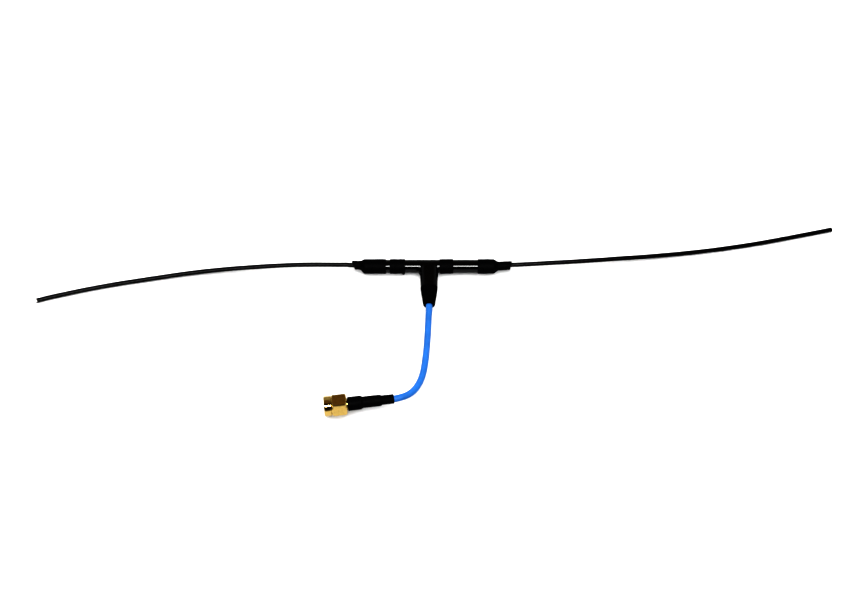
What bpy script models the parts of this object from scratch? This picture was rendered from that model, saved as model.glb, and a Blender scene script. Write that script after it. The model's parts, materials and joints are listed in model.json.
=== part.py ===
"""Wire dipole antenna with a tee hub, two springy elements and a coax pigtail that ends in a plug.

Metres, +Z up. The origin is the middle of the flat pad under the hub, where the antenna rests.
The elements leave the hub along -X and +X, the stem and its coax leave along -Y.
"""

import math

import bmesh
import bpy
from mathutils import Matrix, Vector

MM = 0.001

# Fits
RUNNING_FIT = 0.05 * MM
WIRE_FIT = 0.08 * MM
PARTING_GAP = 0.10 * MM
BUTT_GAP = 0.30 * MM

# Roundness
SEGMENTS = 32
PLUG_SEGMENTS = 24
SMALL_SEGMENTS = 12
NUT_SEGMENTS = 36
RING_STEPS = 24

# Tee hub: cross bar, stem and the pad it rests on
BAR_RADIUS = 2.75 * MM
BAR_HALF_LENGTH = 26.4 * MM
BAR_BORE_RADIUS = 1.95 * MM
BAR_END_WALL = 1.5 * MM
EDGE_BEVEL = 0.25 * MM
STEM_HALF_WIDTH = 3.5 * MM
STEM_PROUD = 0.06 * MM
STEM_CORNER = 1.9 * MM
STEM_TAPER = 0.25 * MM
STEM_FILLET = {"left": 1.3 * MM, "right": 0.55 * MM}
STEM_OVERRUN = 0.6 * MM
STEM_LENGTH = 11.2 * MM
STEM_WALL = 0.95 * MM
CHOKE_CLEARANCE = 0.01 * MM
PAD_HALF_WIDTH = 1.5 * MM
PAD_FRONT = -9.0 * MM
PAD_BACK = 1.0 * MM

# Heat-shrink bands and boots on the bar
SHRINK_WALL = 0.25 * MM
BAND_LENGTH = {"left": 6.4 * MM, "right": 5.7 * MM}
BAND_STANDOFF = {"left": 4.75 * MM, "right": 0.0 * MM}
BOOT_GRIP = {"left": 8.7 * MM, "right": 6.4 * MM}
BOOT_TAPER_LENGTH = 1.4 * MM
BOOT_NECK_LENGTH = {"left": 3.6 * MM, "right": 6.0 * MM}
BOOT_NECK_WALL = 0.85 * MM

# Elements: coated wire rope
WIRE_RADIUS = 0.95 * MM
CORE_RADIUS = 0.58 * MM
LEAD_SLOPE = 0.048
LEAD_RUN = 8.4 * MM
PIVOT_STANDOFF = 0.40 * MM
ROOT_CLEARANCE = 1.00 * MM
ELEMENT_STEPS = 26
# Hand-chosen points of each free element: outwards from its pivot, across from the bar's axis, and
# above where the wire lies flat
ELEMENT_ROUTE = {
    "left": [
        (22.9, 0.95, 1.81),
        (42.9, 0.06, 1.20),
        (62.6, -1.68, 0.55),
        (82.1, -4.82, 0.10),
        (101.2, -8.60, 0.0),
        (119.9, -13.46, 0.0),
        (127.4, -15.84, 0.0),
    ],
    "right": [
        (15.1, 1.80, 1.95),
        (28.5, 3.02, 1.61),
        (42.0, 4.49, 1.17),
        (62.4, 6.83, 0.53),
        (83.0, 9.71, 0.10),
        (103.9, 13.48, 0.0),
        (125.2, 18.27, 0.0),
        (137.3, 21.15, 0.0),
    ],
}

# Feed inside the hub
BOARD_HALF_LENGTH = 4.0 * MM
BOARD_SIDE_CLEARANCE = 0.224 * MM
BOARD_THICKNESS = 0.6 * MM
BOARD_TOP_DROP = 0.40 * MM
TERMINAL_WALL = 0.34 * MM
TERMINAL_START = 4.3 * MM
TERMINAL_LENGTH = 5.2 * MM
TERMINAL_DEPTH = 4.0 * MM
TAB_LENGTH = 2.2 * MM
TAB_HALF_WIDTH = 0.7 * MM
TAB_THICKNESS = 0.22 * MM
JACKET_STRIP = 5.0 * MM

# Coax, from the middle out
CONDUCTOR_RADIUS = 0.255 * MM
BRAID_WALL = 0.23 * MM
JACKET_WALL = 0.19 * MM
COAX_RADIUS = 1.32 * MM
STRIP_STANDOFF = 0.95 * MM
STRIP_STEP = 1.0 * MM
CHOKE_WALL = 0.43 * MM
CHOKE_STANDOFF = 0.60 * MM

# Strain relief at the foot of the stem
BOOT_CONE_LENGTH = 8.3 * MM
BOOT_MOUTH_WALL = 0.90 * MM
BOOT_LIP_LENGTH = 0.10 * MM
SPIGOT_LENGTH = 2.6 * MM
SPIGOT_WALL = 0.44 * MM

# Coax route outside the stem, hand-chosen, from the mouth to the plug
COAX_ROUTE = [
    (0.00, -21.5, 3.00),
    (-0.20, -24.5, 2.75),
    (-0.35, -28.1, 2.35),
    (-0.52, -31.6, 1.95),
    (-0.74, -35.2, 1.65),
    (-1.00, -38.8, 1.48),
    (-1.32, -42.5, 1.45),
    (-1.72, -46.2, 1.50),
    (-2.30, -49.9, 1.72),
    (-3.25, -53.6, 2.15),
    (-4.40, -56.4, 2.58),
    (-5.72, -58.6, 2.97),
    (-7.20, -60.3, 3.35),
    (-8.80, -61.5, 3.68),
    (-10.5, -62.3, 3.90),
    (-12.0, -62.78, 3.99),
]
COAX_STEP = 1.1 * MM

# Plug: where its inner sleeve starts, and its sizes from there to its front
PLUG_PLACE = (-13.35 * MM, -63.06 * MM)
PLUG_LIFT = 0.02 * MM
PLUG_TURN = math.radians(187.25)
SLEEVE_STEP = 4.8 * MM
INNER_SLEEVE_LENGTH = 12.6 * MM
FERRULE_LENGTH = 4.3 * MM
NUT_HEX_LENGTH = 5.7 * MM
NUT_ROUND_LENGTH = 2.95 * MM
NUT_ACROSS_FLATS = 8.0 * MM
NUT_ROUND_INSET = 0.05 * MM
NUT_CORNER_PROUD = 0.25 * MM
NUT_THREAD_FIT = 0.18 * MM
NUT_LAND_LENGTH = 3.2 * MM
NUT_CHAMFER = 0.40 * MM
NUT_STEP_LENGTH = 0.10 * MM
SLEEVE_WALL = 0.40 * MM
OUTER_SLEEVE_WALL = 0.34 * MM
SHOULDER_LENGTH = 1.0 * MM
FERRULE_WALL = 0.40 * MM
BARREL_WALL = 0.38 * MM
BODY_RADIUS = 2.45 * MM
FLANGE_PROUD = 0.27 * MM
FLANGE_THICKNESS = 1.0 * MM
FLANGE_STEP = 0.44 * MM
BULKHEAD_THICKNESS = 0.6 * MM
FRONT_WALL = 0.33 * MM
FRONT_RECESS = 1.5 * MM
PIN_RADIUS = 0.46 * MM
PIN_RECESS = 0.4 * MM
PIN_TAIL = 1.6 * MM
PIN_TAPER = 0.5 * MM
PIN_TIP_LENGTH = 0.1 * MM
GASKET_WIDTH = 0.40 * MM
GASKET_THICKNESS = 0.60 * MM
GASKET_BEVEL = 0.10 * MM
RING_THICKNESS = 0.50 * MM
RING_WIDTH = 0.75 * MM
RING_GAP_ANGLE = math.radians(24.0)
NUT_SLIDE = 0.15 * MM

# Values that follow from the ones above: hub, bands and boots
BORE_RADIUS = BAR_RADIUS + RUNNING_FIT
SHRINK_RADIUS = BORE_RADIUS + SHRINK_WALL
AXIS_HEIGHT = SHRINK_RADIUS
STEM_HALF_HEIGHT = BAR_RADIUS + STEM_PROUD
HUB_CENTRE = Vector((0.0, 0.0, AXIS_HEIGHT))
LEAD_SLOPE_START = BAR_HALF_LENGTH - LEAD_RUN
WIRE_REST_HEIGHT = WIRE_RADIUS + RUNNING_FIT
SIDES = {"left": -1.0, "right": 1.0}

# Coax and strain relief
COAX_BORE = COAX_RADIUS + 2.0 * RUNNING_FIT
BRAID_RADIUS = COAX_RADIUS - JACKET_WALL - RUNNING_FIT
DIELECTRIC_RADIUS = BRAID_RADIUS - BRAID_WALL - RUNNING_FIT
BOOT_BASE = STEM_LENGTH + PARTING_GAP
MOUTH_Y = -(BOOT_BASE + BOOT_CONE_LENGTH)
BOOT_MOUTH_RADIUS = COAX_BORE + BOOT_MOUTH_WALL
SPIGOT_RADIUS = COAX_BORE + SPIGOT_WALL
SPIGOT_START = BOOT_BASE - SPIGOT_LENGTH
CHOKE_RADIUS = COAX_BORE + CHOKE_WALL

# Feed
BOARD_BOTTOM_DROP = BOARD_TOP_DROP + BOARD_THICKNESS
BOARD_HALF_WIDTH = math.sqrt(BAR_BORE_RADIUS**2 - BOARD_BOTTOM_DROP**2) - BOARD_SIDE_CLEARANCE
STRIP_START = BOARD_HALF_WIDTH + STRIP_STANDOFF + 2.0 * STRIP_STEP
CHOKE_START = STRIP_START + BUTT_GAP
CHOKE_END = SPIGOT_START - CHOKE_STANDOFF
TERMINAL_RADIUS = CORE_RADIUS + WIRE_FIT + TERMINAL_WALL

# Plug: radii, then stations along it from where the inner sleeve starts
BARREL_RADIUS = COAX_BORE + BARREL_WALL
FERRULE_RADIUS = BARREL_RADIUS + RUNNING_FIT + FERRULE_WALL
FLANGE_RADIUS = BODY_RADIUS + FLANGE_PROUD
FRONT_TUBE_RADIUS = FLANGE_RADIUS - FLANGE_STEP
FRONT_BORE_RADIUS = FRONT_TUBE_RADIUS - FRONT_WALL
NUT_THREAD_RADIUS = FLANGE_RADIUS + NUT_THREAD_FIT
NUT_ROUND_RADIUS = NUT_ACROSS_FLATS / 2.0 - NUT_ROUND_INSET
NUT_CORNER_RADIUS = NUT_ACROSS_FLATS / 2.0 + NUT_CORNER_PROUD
RING_INNER_RADIUS = BODY_RADIUS + RUNNING_FIT - RING_WIDTH / 2.0
FERRULE_START = INNER_SLEEVE_LENGTH + BUTT_GAP
NUT_START = FERRULE_START + FERRULE_LENGTH + 2.0 * BUTT_GAP
SLEEVE_END = NUT_START - NUT_SLIDE - RUNNING_FIT
GROOVE_MIDDLE = NUT_START + NUT_LAND_LENGTH / 2.0
FLANGE_START = NUT_START + NUT_LAND_LENGTH + 2.0 * NUT_SLIDE
FLANGE_END = FLANGE_START + FLANGE_THICKNESS
BULKHEAD_START = FLANGE_START - BULKHEAD_THICKNESS
NUT_FRONT = NUT_START + NUT_HEX_LENGTH + NUT_ROUND_LENGTH
BODY_FRONT = NUT_FRONT - FRONT_RECESS
PLUG_START = Vector((*PLUG_PLACE, NUT_ACROSS_FLATS / 2.0 + PLUG_LIFT))

X_AXIS = Vector((1.0, 0.0, 0.0))
Y_AXIS = Vector((0.0, 1.0, 0.0))
Z_AXIS = Vector((0.0, 0.0, 1.0))


def clear_scene():
    for old in list(bpy.data.objects):
        bpy.data.objects.remove(old, do_unlink=True)


def material(name, colour, roughness, metallic=0.0):
    """One Principled material; pieces with the same finish share it."""
    found = bpy.data.materials.get(name)
    if found:
        return found
    made = bpy.data.materials.new(name)
    made.use_nodes = True
    shader = made.node_tree.nodes["Principled BSDF"]
    shader.inputs["Base Color"].default_value = (*colour, 1.0)
    shader.inputs["Roughness"].default_value = roughness
    shader.inputs["Metallic"].default_value = metallic
    return made


def hub_plastic():
    return material("hub_plastic", (0.010, 0.010, 0.011), 0.22)


def shrink_tube():
    return material("shrink_tube", (0.012, 0.012, 0.013), 0.62)


def element_coating():
    return material("element_coating", (0.015, 0.015, 0.016), 0.38)


def wire_steel():
    return material("wire_steel", (0.55, 0.54, 0.52), 0.32, 1.0)


def coax_blue():
    return material("coax_blue", (0.03, 0.20, 0.85), 0.38)


def gold_plate():
    return material("gold_plate", (0.86, 0.62, 0.22), 0.22, 1.0)


def white_insulator():
    return material("white_insulator", (0.86, 0.86, 0.84), 0.45)


def tinned_braid():
    return material("tinned_braid", (0.62, 0.62, 0.62), 0.40, 1.0)


def brass():
    return material("brass", (0.70, 0.50, 0.20), 0.35, 1.0)


def board_green():
    return material("board_green", (0.02, 0.16, 0.06), 0.45)


def ferrite():
    return material("ferrite", (0.06, 0.06, 0.065), 0.55)


def gasket_rubber():
    return material("gasket_rubber", (0.50, 0.06, 0.03), 0.55)


def spring_steel():
    return material("spring_steel", (0.58, 0.50, 0.32), 0.30, 1.0)


def ring(centre, side, up, half_width, half_height=None, corner=None, count=SEGMENTS):
    """Points of one cross-section round centre: a circle, or a rounded rectangle when corner is given."""
    points = []
    if corner is None:
        for i in range(count):
            angle = 2.0 * math.pi * i / count
            points.append(centre + half_width * (side * math.cos(angle) + up * math.sin(angle)))
        return points
    steps = count // 4
    signs = ((1, 1), (-1, 1), (-1, -1), (1, -1))
    for quarter, (across, above) in enumerate(signs):
        middle = side * across * (half_width - corner) + up * above * (half_height - corner)
        for i in range(steps):
            angle = math.pi / 2.0 * (quarter + i / (steps - 1))
            points.append(centre + middle + corner * (side * math.cos(angle) + up * math.sin(angle)))
    return points


def loft(name, rings, finish, hollow=False, sharp_angle=35.0):
    """One closed solid through rings of points. A hollow one joins its last ring to its first."""
    mesh = bmesh.new()
    rows = [[mesh.verts.new(point) for point in points] for points in rings]
    pairs = list(zip(rows, rows[1:]))
    if hollow:
        pairs.append((rows[-1], rows[0]))
    for near, far in pairs:
        for i in range(len(near)):
            j = (i + 1) % len(near)
            mesh.faces.new((near[i], near[j], far[j], far[i]))
    if not hollow:
        mesh.faces.new(rows[0])
        mesh.faces.new(list(reversed(rows[-1])))
    bmesh.ops.recalc_face_normals(mesh, faces=mesh.faces[:])
    return finished(name, mesh, finish, sharp_angle)


def finished(name, mesh, finish, sharp_angle=35.0):
    data = bpy.data.meshes.new(name)
    mesh.to_mesh(data)
    mesh.free()
    data.materials.append(finish)
    data.shade_smooth()
    data.set_sharp_from_angle(angle=math.radians(sharp_angle))
    made = bpy.data.objects.new(name, data)
    bpy.context.scene.collection.objects.link(made)
    return made


def box(name, low, high, finish):
    mesh = bmesh.new()
    bmesh.ops.create_cube(mesh, size=1.0)
    for vertex in mesh.verts:
        vertex.co = Vector([(a + b) / 2.0 + (b - a) * c for a, b, c in zip(low, high, vertex.co)])
    return finished(name, mesh, finish)


def turned(name, profile, origin, axis, side, finish, hollow=False, count=SEGMENTS):
    """A solid of revolution: profile holds (distance along axis, radius) pairs."""
    up = axis.cross(side)
    rings = [ring(origin + axis * along, side, up, radius, count=count) for along, radius in profile]
    return loft(name, rings, finish, hollow)


def tube_profile(start, end, outer, inner, bevel):
    """Profile of a plain sleeve whose outer edges are broken by bevel."""
    return [
        (start, inner),
        (start, outer - bevel),
        (start + bevel, outer),
        (end - bevel, outer),
        (end, outer - bevel),
        (end, inner),
    ]


def guide(made):
    made.hide_render = True
    made.display_type = "WIRE"
    return made


def combine(target, tool, operation):
    modifier = target.modifiers.new(tool.name, "BOOLEAN")
    modifier.object = tool
    modifier.operation = operation
    modifier.solver = "EXACT"


def smooth_curve(route, step):
    """Points about one step apart on a smooth curve through the route's own points."""
    ends = [route[0] * 2.0 - route[1]] + list(route) + [route[-1] * 2.0 - route[-2]]
    points = []
    for before, start, end, after in zip(ends, ends[1:], ends[2:], ends[3:]):
        pieces = max(1, round((end - start).length / step))
        for i in range(pieces):
            t = i / pieces
            points.append(
                0.5
                * (
                    2.0 * start
                    + (end - before) * t
                    + (2.0 * before - 5.0 * start + 4.0 * end - after) * t * t
                    + (3.0 * start - before - 3.0 * end + after) * t * t * t
                )
            )
    points.append(route[-1].copy())
    return points


def lead_offset(distance):
    """How far the wire has left the bar's axis towards +Y, at a distance from the hub's middle."""
    return LEAD_SLOPE * max(0.0, distance - LEAD_SLOPE_START)


def lead_point(side, distance):
    return Vector((SIDES[side] * distance, lead_offset(distance), AXIS_HEIGHT))


def boot_neck_start():
    return BAR_HALF_LENGTH + BUTT_GAP + BOOT_TAPER_LENGTH


def boot_mouth(side):
    return boot_neck_start() + BOOT_NECK_LENGTH[side]


def element_pivot(side):
    return lead_point(side, boot_mouth(side) + PIVOT_STANDOFF)


def stem_flare(side, distance):
    """How far the fillet widens the stem on one side, at a distance in front of the bar's axis."""
    fillet = STEM_FILLET[side]
    reach = min(max(distance - BAR_RADIUS + STEM_OVERRUN, 0.0), fillet)
    return fillet - math.sqrt(fillet**2 - (fillet - reach) ** 2)


def stem_form_rings():
    """Rings down the stem from the bar's axis, flared where they leave the bar."""
    largest = max(STEM_FILLET.values())
    steps = [0.0, 0.5 * BAR_RADIUS]
    steps += [BAR_RADIUS - STEM_OVERRUN + largest * i / 7.0 for i in range(8)]
    steps += [STEM_LENGTH]
    rings = []
    for distance in steps:
        left = stem_flare("left", distance)
        right = stem_flare("right", distance)
        centre = HUB_CENTRE - Y_AXIS * distance + X_AXIS * (right - left) / 2.0
        width = STEM_HALF_WIDTH + STEM_TAPER * (1.0 - distance / STEM_LENGTH) + (left + right) / 2.0
        rings.append(ring(centre, X_AXIS, Z_AXIS, width, STEM_HALF_HEIGHT, STEM_CORNER))
    return rings


def make_hub_guides():
    """The forms that both shells are cut from and cut with."""
    stem = loft("stem_form", stem_form_rings(), hub_plastic())
    pad = box(
        "pad_form",
        (-PAD_HALF_WIDTH, PAD_FRONT, 0.0),
        (PAD_HALF_WIDTH, PAD_BACK, AXIS_HEIGHT - BAR_BORE_RADIUS - STEM_WALL / 3.0),
        hub_plastic(),
    )
    wall = BAR_HALF_LENGTH - BAR_END_WALL
    hole = lead_offset(BAR_HALF_LENGTH) + WIRE_RADIUS + 2.0 * WIRE_FIT
    past = BAR_HALF_LENGTH + BAR_END_WALL
    profile = [(-past, hole), (-wall, hole), (-wall, BAR_BORE_RADIUS)]
    profile += [(-along, radius) for along, radius in reversed(profile)]
    bar_bore = turned("bar_bore", profile, HUB_CENTRE, X_AXIS, Y_AXIS, hub_plastic())
    spigot_end = SPIGOT_START - PARTING_GAP - BUTT_GAP
    room = (STEM_HALF_WIDTH - STEM_WALL, CHOKE_RADIUS + CHOKE_CLEARANCE, STEM_CORNER - STEM_WALL)
    rings = []
    for distance in (0.0, spigot_end):
        rings.append(ring(HUB_CENTRE - Y_AXIS * distance, X_AXIS, Z_AXIS, *room))
    bore = SPIGOT_RADIUS + RUNNING_FIT
    for distance in (spigot_end, STEM_LENGTH + STEM_WALL):
        centre = HUB_CENTRE - Y_AXIS * distance
        rings.append(ring(centre, X_AXIS, Z_AXIS, bore, bore, bore * 0.98))
    stem_bore = loft("stem_bore", rings, hub_plastic())
    reach = BAR_HALF_LENGTH * 1.2
    top = AXIS_HEIGHT + 2.0 * BAR_RADIUS
    upper = box(
        "upper_half",
        (-reach, -reach, AXIS_HEIGHT + PARTING_GAP / 2.0),
        (reach, reach, top),
        hub_plastic(),
    )
    lower = box(
        "lower_half",
        (-reach, -reach, -BAR_RADIUS),
        (reach, reach, AXIS_HEIGHT - PARTING_GAP / 2.0),
        hub_plastic(),
    )
    for form in (stem, pad, bar_bore, stem_bore, upper, lower):
        guide(form)
    return stem, pad, bar_bore, stem_bore, upper, lower


def make_shells():
    stem, pad, bar_bore, stem_bore, upper, lower = make_hub_guides()
    end = BAR_HALF_LENGTH
    profile = [
        (-end, BAR_RADIUS - EDGE_BEVEL),
        (-end + EDGE_BEVEL, BAR_RADIUS),
        (end - EDGE_BEVEL, BAR_RADIUS),
        (end, BAR_RADIUS - EDGE_BEVEL),
    ]
    for name, half, forms in (
        ("tee_upper_shell", upper, (stem,)),
        ("tee_lower_shell", lower, (stem, pad)),
    ):
        shell = turned(name, profile, HUB_CENTRE, X_AXIS, Y_AXIS, hub_plastic())
        for form in forms:
            combine(shell, form, "UNION")
        combine(shell, bar_bore, "DIFFERENCE")
        combine(shell, stem_bore, "DIFFERENCE")
        combine(shell, half, "INTERSECT")


def make_bands():
    for side, sign in SIDES.items():
        start = STEM_HALF_WIDTH + STEM_TAPER + STEM_FILLET[side] + BAND_STANDOFF[side]
        end = start + BAND_LENGTH[side]
        profile = tube_profile(start, end, SHRINK_RADIUS, BORE_RADIUS, SHRINK_WALL / 2.0)
        turned(side + "_band", profile, HUB_CENTRE, X_AXIS * sign, Y_AXIS, shrink_tube(), hollow=True)


def make_end_boot(side):
    """Heat-shrink that grips the bar's end and shrinks down onto the wire, which leaves a little off axis."""
    neck = boot_neck_start()
    mouth = boot_mouth(side)
    wire_bore = WIRE_RADIUS + WIRE_FIT
    neck_radius = wire_bore + BOOT_NECK_WALL
    edge = SHRINK_WALL / 2.0
    start = BAR_HALF_LENGTH - BOOT_GRIP[side]
    wide_end = neck - BOOT_TAPER_LENGTH
    stations = [
        (start, BORE_RADIUS, False),
        (start, SHRINK_RADIUS - edge, False),
        (start + edge, SHRINK_RADIUS, False),
        (wide_end - edge, SHRINK_RADIUS, False),
        (wide_end + edge, SHRINK_RADIUS - edge, False),
        (neck, neck_radius, True),
        (mouth - edge, neck_radius, True),
        (mouth, neck_radius - edge, True),
        (mouth, wire_bore, True),
        (neck, wire_bore, True),
        (wide_end, BORE_RADIUS - EDGE_BEVEL, False),
        (wide_end - EDGE_BEVEL, BORE_RADIUS, False),
    ]
    rings = []
    for distance, radius, on_wire in stations:
        centre = lead_point(side, distance)
        if not on_wire:
            centre.y = 0.0
        rings.append(ring(centre, Y_AXIS, Z_AXIS, radius))
    loft(side + "_end_boot", rings, shrink_tube(), hollow=True)


def make_terminal(side):
    """Crimp socket with a flat tab that lies on the board."""
    direction = X_AXIS * SIDES[side]
    start = TERMINAL_START
    floor = start + TERMINAL_LENGTH - TERMINAL_DEPTH
    bore = CORE_RADIUS + WIRE_FIT
    profile = [
        (start, 0.4 * TERMINAL_RADIUS),
        (start + 0.3 * TERMINAL_RADIUS, TERMINAL_RADIUS),
        (start + TERMINAL_LENGTH, TERMINAL_RADIUS),
        (start + TERMINAL_LENGTH, bore),
        (floor, bore),
    ]
    name = side + "_terminal"
    barrel = turned(name, profile, HUB_CENTRE, direction, Y_AXIS, brass(), count=SMALL_SEGMENTS)
    bottom = AXIS_HEIGHT - BOARD_TOP_DROP + RUNNING_FIT
    ends = sorted((SIDES[side] * (start - TAB_LENGTH), SIDES[side] * (start + 0.6 * TERMINAL_RADIUS)))
    tab = box(
        side + "_tab_form",
        (ends[0], -TAB_HALF_WIDTH, bottom),
        (ends[1], TAB_HALF_WIDTH, bottom + TAB_THICKNESS),
        brass(),
    )
    combine(barrel, guide(tab), "UNION")


def make_element_root(side):
    """The fixed part of the element: bared strands in the terminal, then coated wire to the boot's mouth."""
    bare_start = TERMINAL_START + TERMINAL_LENGTH - TERMINAL_DEPTH + BUTT_GAP
    bare_end = bare_start + JACKET_STRIP
    end = boot_mouth(side) + PIVOT_STANDOFF - ROOT_CLEARANCE
    stations = [(bare_start, CORE_RADIUS), (bare_end, CORE_RADIUS), (bare_end, WIRE_RADIUS)]
    stations += [(LEAD_SLOPE_START, WIRE_RADIUS), (end, WIRE_RADIUS)]
    rings = []
    for distance, radius in stations:
        rings.append(ring(lead_point(side, distance), Y_AXIS, Z_AXIS, radius, count=SMALL_SEGMENTS))
    loft(side + "_element_root", rings, element_coating())


def element_path(side):
    pivot = element_pivot(side)
    ahead = lead_point(side, boot_mouth(side) + PIVOT_STANDOFF + 4.0 * WIRE_RADIUS)
    route = [pivot, ahead]
    for along, across, above in ELEMENT_ROUTE[side]:
        outwards = pivot.x + SIDES[side] * along * MM
        route.append(Vector((outwards, across * MM, above * MM + WIRE_REST_HEIGHT)))
    length = sum((b - a).length for a, b in zip(route, route[1:]))
    return smooth_curve(route, length / ELEMENT_STEPS)


def path_frames(path):
    """Each point of a path with its tangent, and a side and up that turn as little as they can."""
    frames = []
    for i, point in enumerate(path):
        tangent = (path[min(i + 1, len(path) - 1)] - path[max(i - 1, 0)]).normalized()
        side = Z_AXIS.cross(tangent).normalized()
        frames.append((point, tangent, side, tangent.cross(side)))
    return frames


def make_element(side):
    """The free element: a coating with its wire rope inside, on one origin at the flex pivot."""
    frames = path_frames(element_path(side))
    count = SMALL_SEGMENTS
    pivot, tangent, across, up = frames[0]
    rings = []
    for angle in (70.0, 45.0, 20.0):
        back = WIRE_RADIUS * math.sin(math.radians(angle))
        radius = WIRE_RADIUS * math.cos(math.radians(angle))
        rings.append(ring(pivot - tangent * back, across, up, radius, count=count))
    bore = CORE_RADIUS + RUNNING_FIT
    outer = [ring(point, a, b, WIRE_RADIUS, count=count) for point, _, a, b in frames]
    inner = [ring(point, a, b, bore, count=count) for point, _, a, b in reversed(frames[1:])]
    jacket = loft(side + "_element_jacket", rings + outer + inner, element_coating())
    start = frames[1][0] + frames[1][1] * BUTT_GAP
    core_rings = [ring(start, frames[1][2], frames[1][3], CORE_RADIUS, count=count)]
    core_rings += [ring(point, a, b, CORE_RADIUS, count=count) for point, _, a, b in frames[2:]]
    core = loft(side + "_element_core", core_rings, wire_steel())
    for made in (jacket, core):
        made.data.transform(Matrix.Translation(-pivot))
        made.location = pivot


def make_feed():
    top = AXIS_HEIGHT - BOARD_TOP_DROP
    box(
        "feed_board",
        (-BOARD_HALF_LENGTH, -BOARD_HALF_WIDTH, top - BOARD_THICKNESS),
        (BOARD_HALF_LENGTH, BOARD_HALF_WIDTH, top),
        board_green(),
    )
    for side in SIDES:
        make_terminal(side)
        make_element_root(side)


def make_coax_lead():
    """The layers of the coax inside the stem, each stripped a step further back towards the board."""
    front = -MOUTH_Y - BUTT_GAP
    fit = RUNNING_FIT
    layers = [
        ("coax_lead", COAX_RADIUS, BRAID_RADIUS + fit, coax_blue()),
        ("coax_braid", BRAID_RADIUS, DIELECTRIC_RADIUS + fit, tinned_braid()),
        ("coax_dielectric", DIELECTRIC_RADIUS, CONDUCTOR_RADIUS + fit, white_insulator()),
    ]
    start = STRIP_START
    for name, outer, inner, finish in layers:
        profile = [(start, inner), (start, outer), (front, outer), (front, inner)]
        turned(name, profile, HUB_CENTRE, -Y_AXIS, X_AXIS, finish, True, SMALL_SEGMENTS)
        start -= STRIP_STEP
    profile = [(start, CONDUCTOR_RADIUS), (front, CONDUCTOR_RADIUS)]
    turned("coax_conductor", profile, HUB_CENTRE, -Y_AXIS, X_AXIS, brass(), count=SMALL_SEGMENTS)
    profile = tube_profile(CHOKE_START, CHOKE_END, CHOKE_RADIUS, COAX_BORE, EDGE_BEVEL)
    turned("choke_bead", profile, HUB_CENTRE, -Y_AXIS, X_AXIS, ferrite(), hollow=True)


def make_stem_boot():
    """Tapered strain relief: a spigot inside the stem and a cone that carries its outline on."""
    base = BOOT_BASE
    tip = -MOUTH_Y
    spigot = SPIGOT_START
    mouth = BOOT_MOUTH_RADIUS
    bore = COAX_BORE

    def round_ring(distance, radius):
        centre = HUB_CENTRE - Y_AXIS * distance
        return ring(centre, X_AXIS, Z_AXIS, radius, radius, radius * 0.98)

    rings = [round_ring(spigot, bore), round_ring(spigot, SPIGOT_RADIUS), round_ring(base, SPIGOT_RADIUS)]
    for share in (0.0, 0.35, 0.7, 0.94):
        distance = base + (tip - base) * share
        width = STEM_HALF_WIDTH + (mouth - STEM_HALF_WIDTH) * share
        height = STEM_HALF_HEIGHT + (mouth - STEM_HALF_HEIGHT) * share
        corner = STEM_CORNER + (0.98 * mouth - STEM_CORNER) * share
        rings.append(ring(HUB_CENTRE - Y_AXIS * distance, X_AXIS, Z_AXIS, width, height, corner))
    rings += [round_ring(tip - BOOT_LIP_LENGTH, mouth - EDGE_BEVEL)]
    rings += [round_ring(tip, mouth - 2.0 * EDGE_BEVEL)]
    rings += [round_ring(tip, bore)]
    loft("stem_boot", rings, shrink_tube(), hollow=True)


def plug_axis():
    return Vector((math.cos(PLUG_TURN), math.sin(PLUG_TURN), 0.0))


def plug_point(station):
    return PLUG_START + plug_axis() * station


def coax_path():
    exit_point = Vector((0.0, MOUTH_Y, AXIS_HEIGHT))
    end = INNER_SLEEVE_LENGTH
    route = [exit_point - Y_AXIS * BUTT_GAP / 2.0] + [Vector(point) * MM for point in COAX_ROUTE]
    route += [plug_point(0.0), plug_point(end / 2.0), plug_point(end)]
    return smooth_curve(route, COAX_STEP)


def make_coax_jacket():
    """The free coax as a plain tube along its route."""
    curve = bpy.data.curves.new("coax_jacket", "CURVE")
    curve.dimensions = "3D"
    curve.bevel_depth = COAX_RADIUS
    curve.bevel_resolution = 2
    curve.use_fill_caps = True
    points = coax_path()
    spline = curve.splines.new("POLY")
    spline.points.add(len(points) - 1)
    for place, point in zip(spline.points, points):
        place.co = (*point, 1.0)
    curve.materials.append(coax_blue())
    made = bpy.data.objects.new("coax_jacket", curve)
    bpy.context.scene.collection.objects.link(made)


def plug_turned(name, profile, finish, hollow=True):
    """A turned plug piece whose origin is on the plug's axis at the nut's rear."""
    made = turned(name, profile, Vector(), X_AXIS, Y_AXIS, finish, hollow, PLUG_SEGMENTS)
    return place_on_plug(made)


def place_on_plug(made):
    made.data.transform(Matrix.Translation(Vector((-NUT_START, 0.0, 0.0))))
    made.location = plug_point(NUT_START)
    made.rotation_euler = (0.0, 0.0, PLUG_TURN)
    return made


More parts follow.
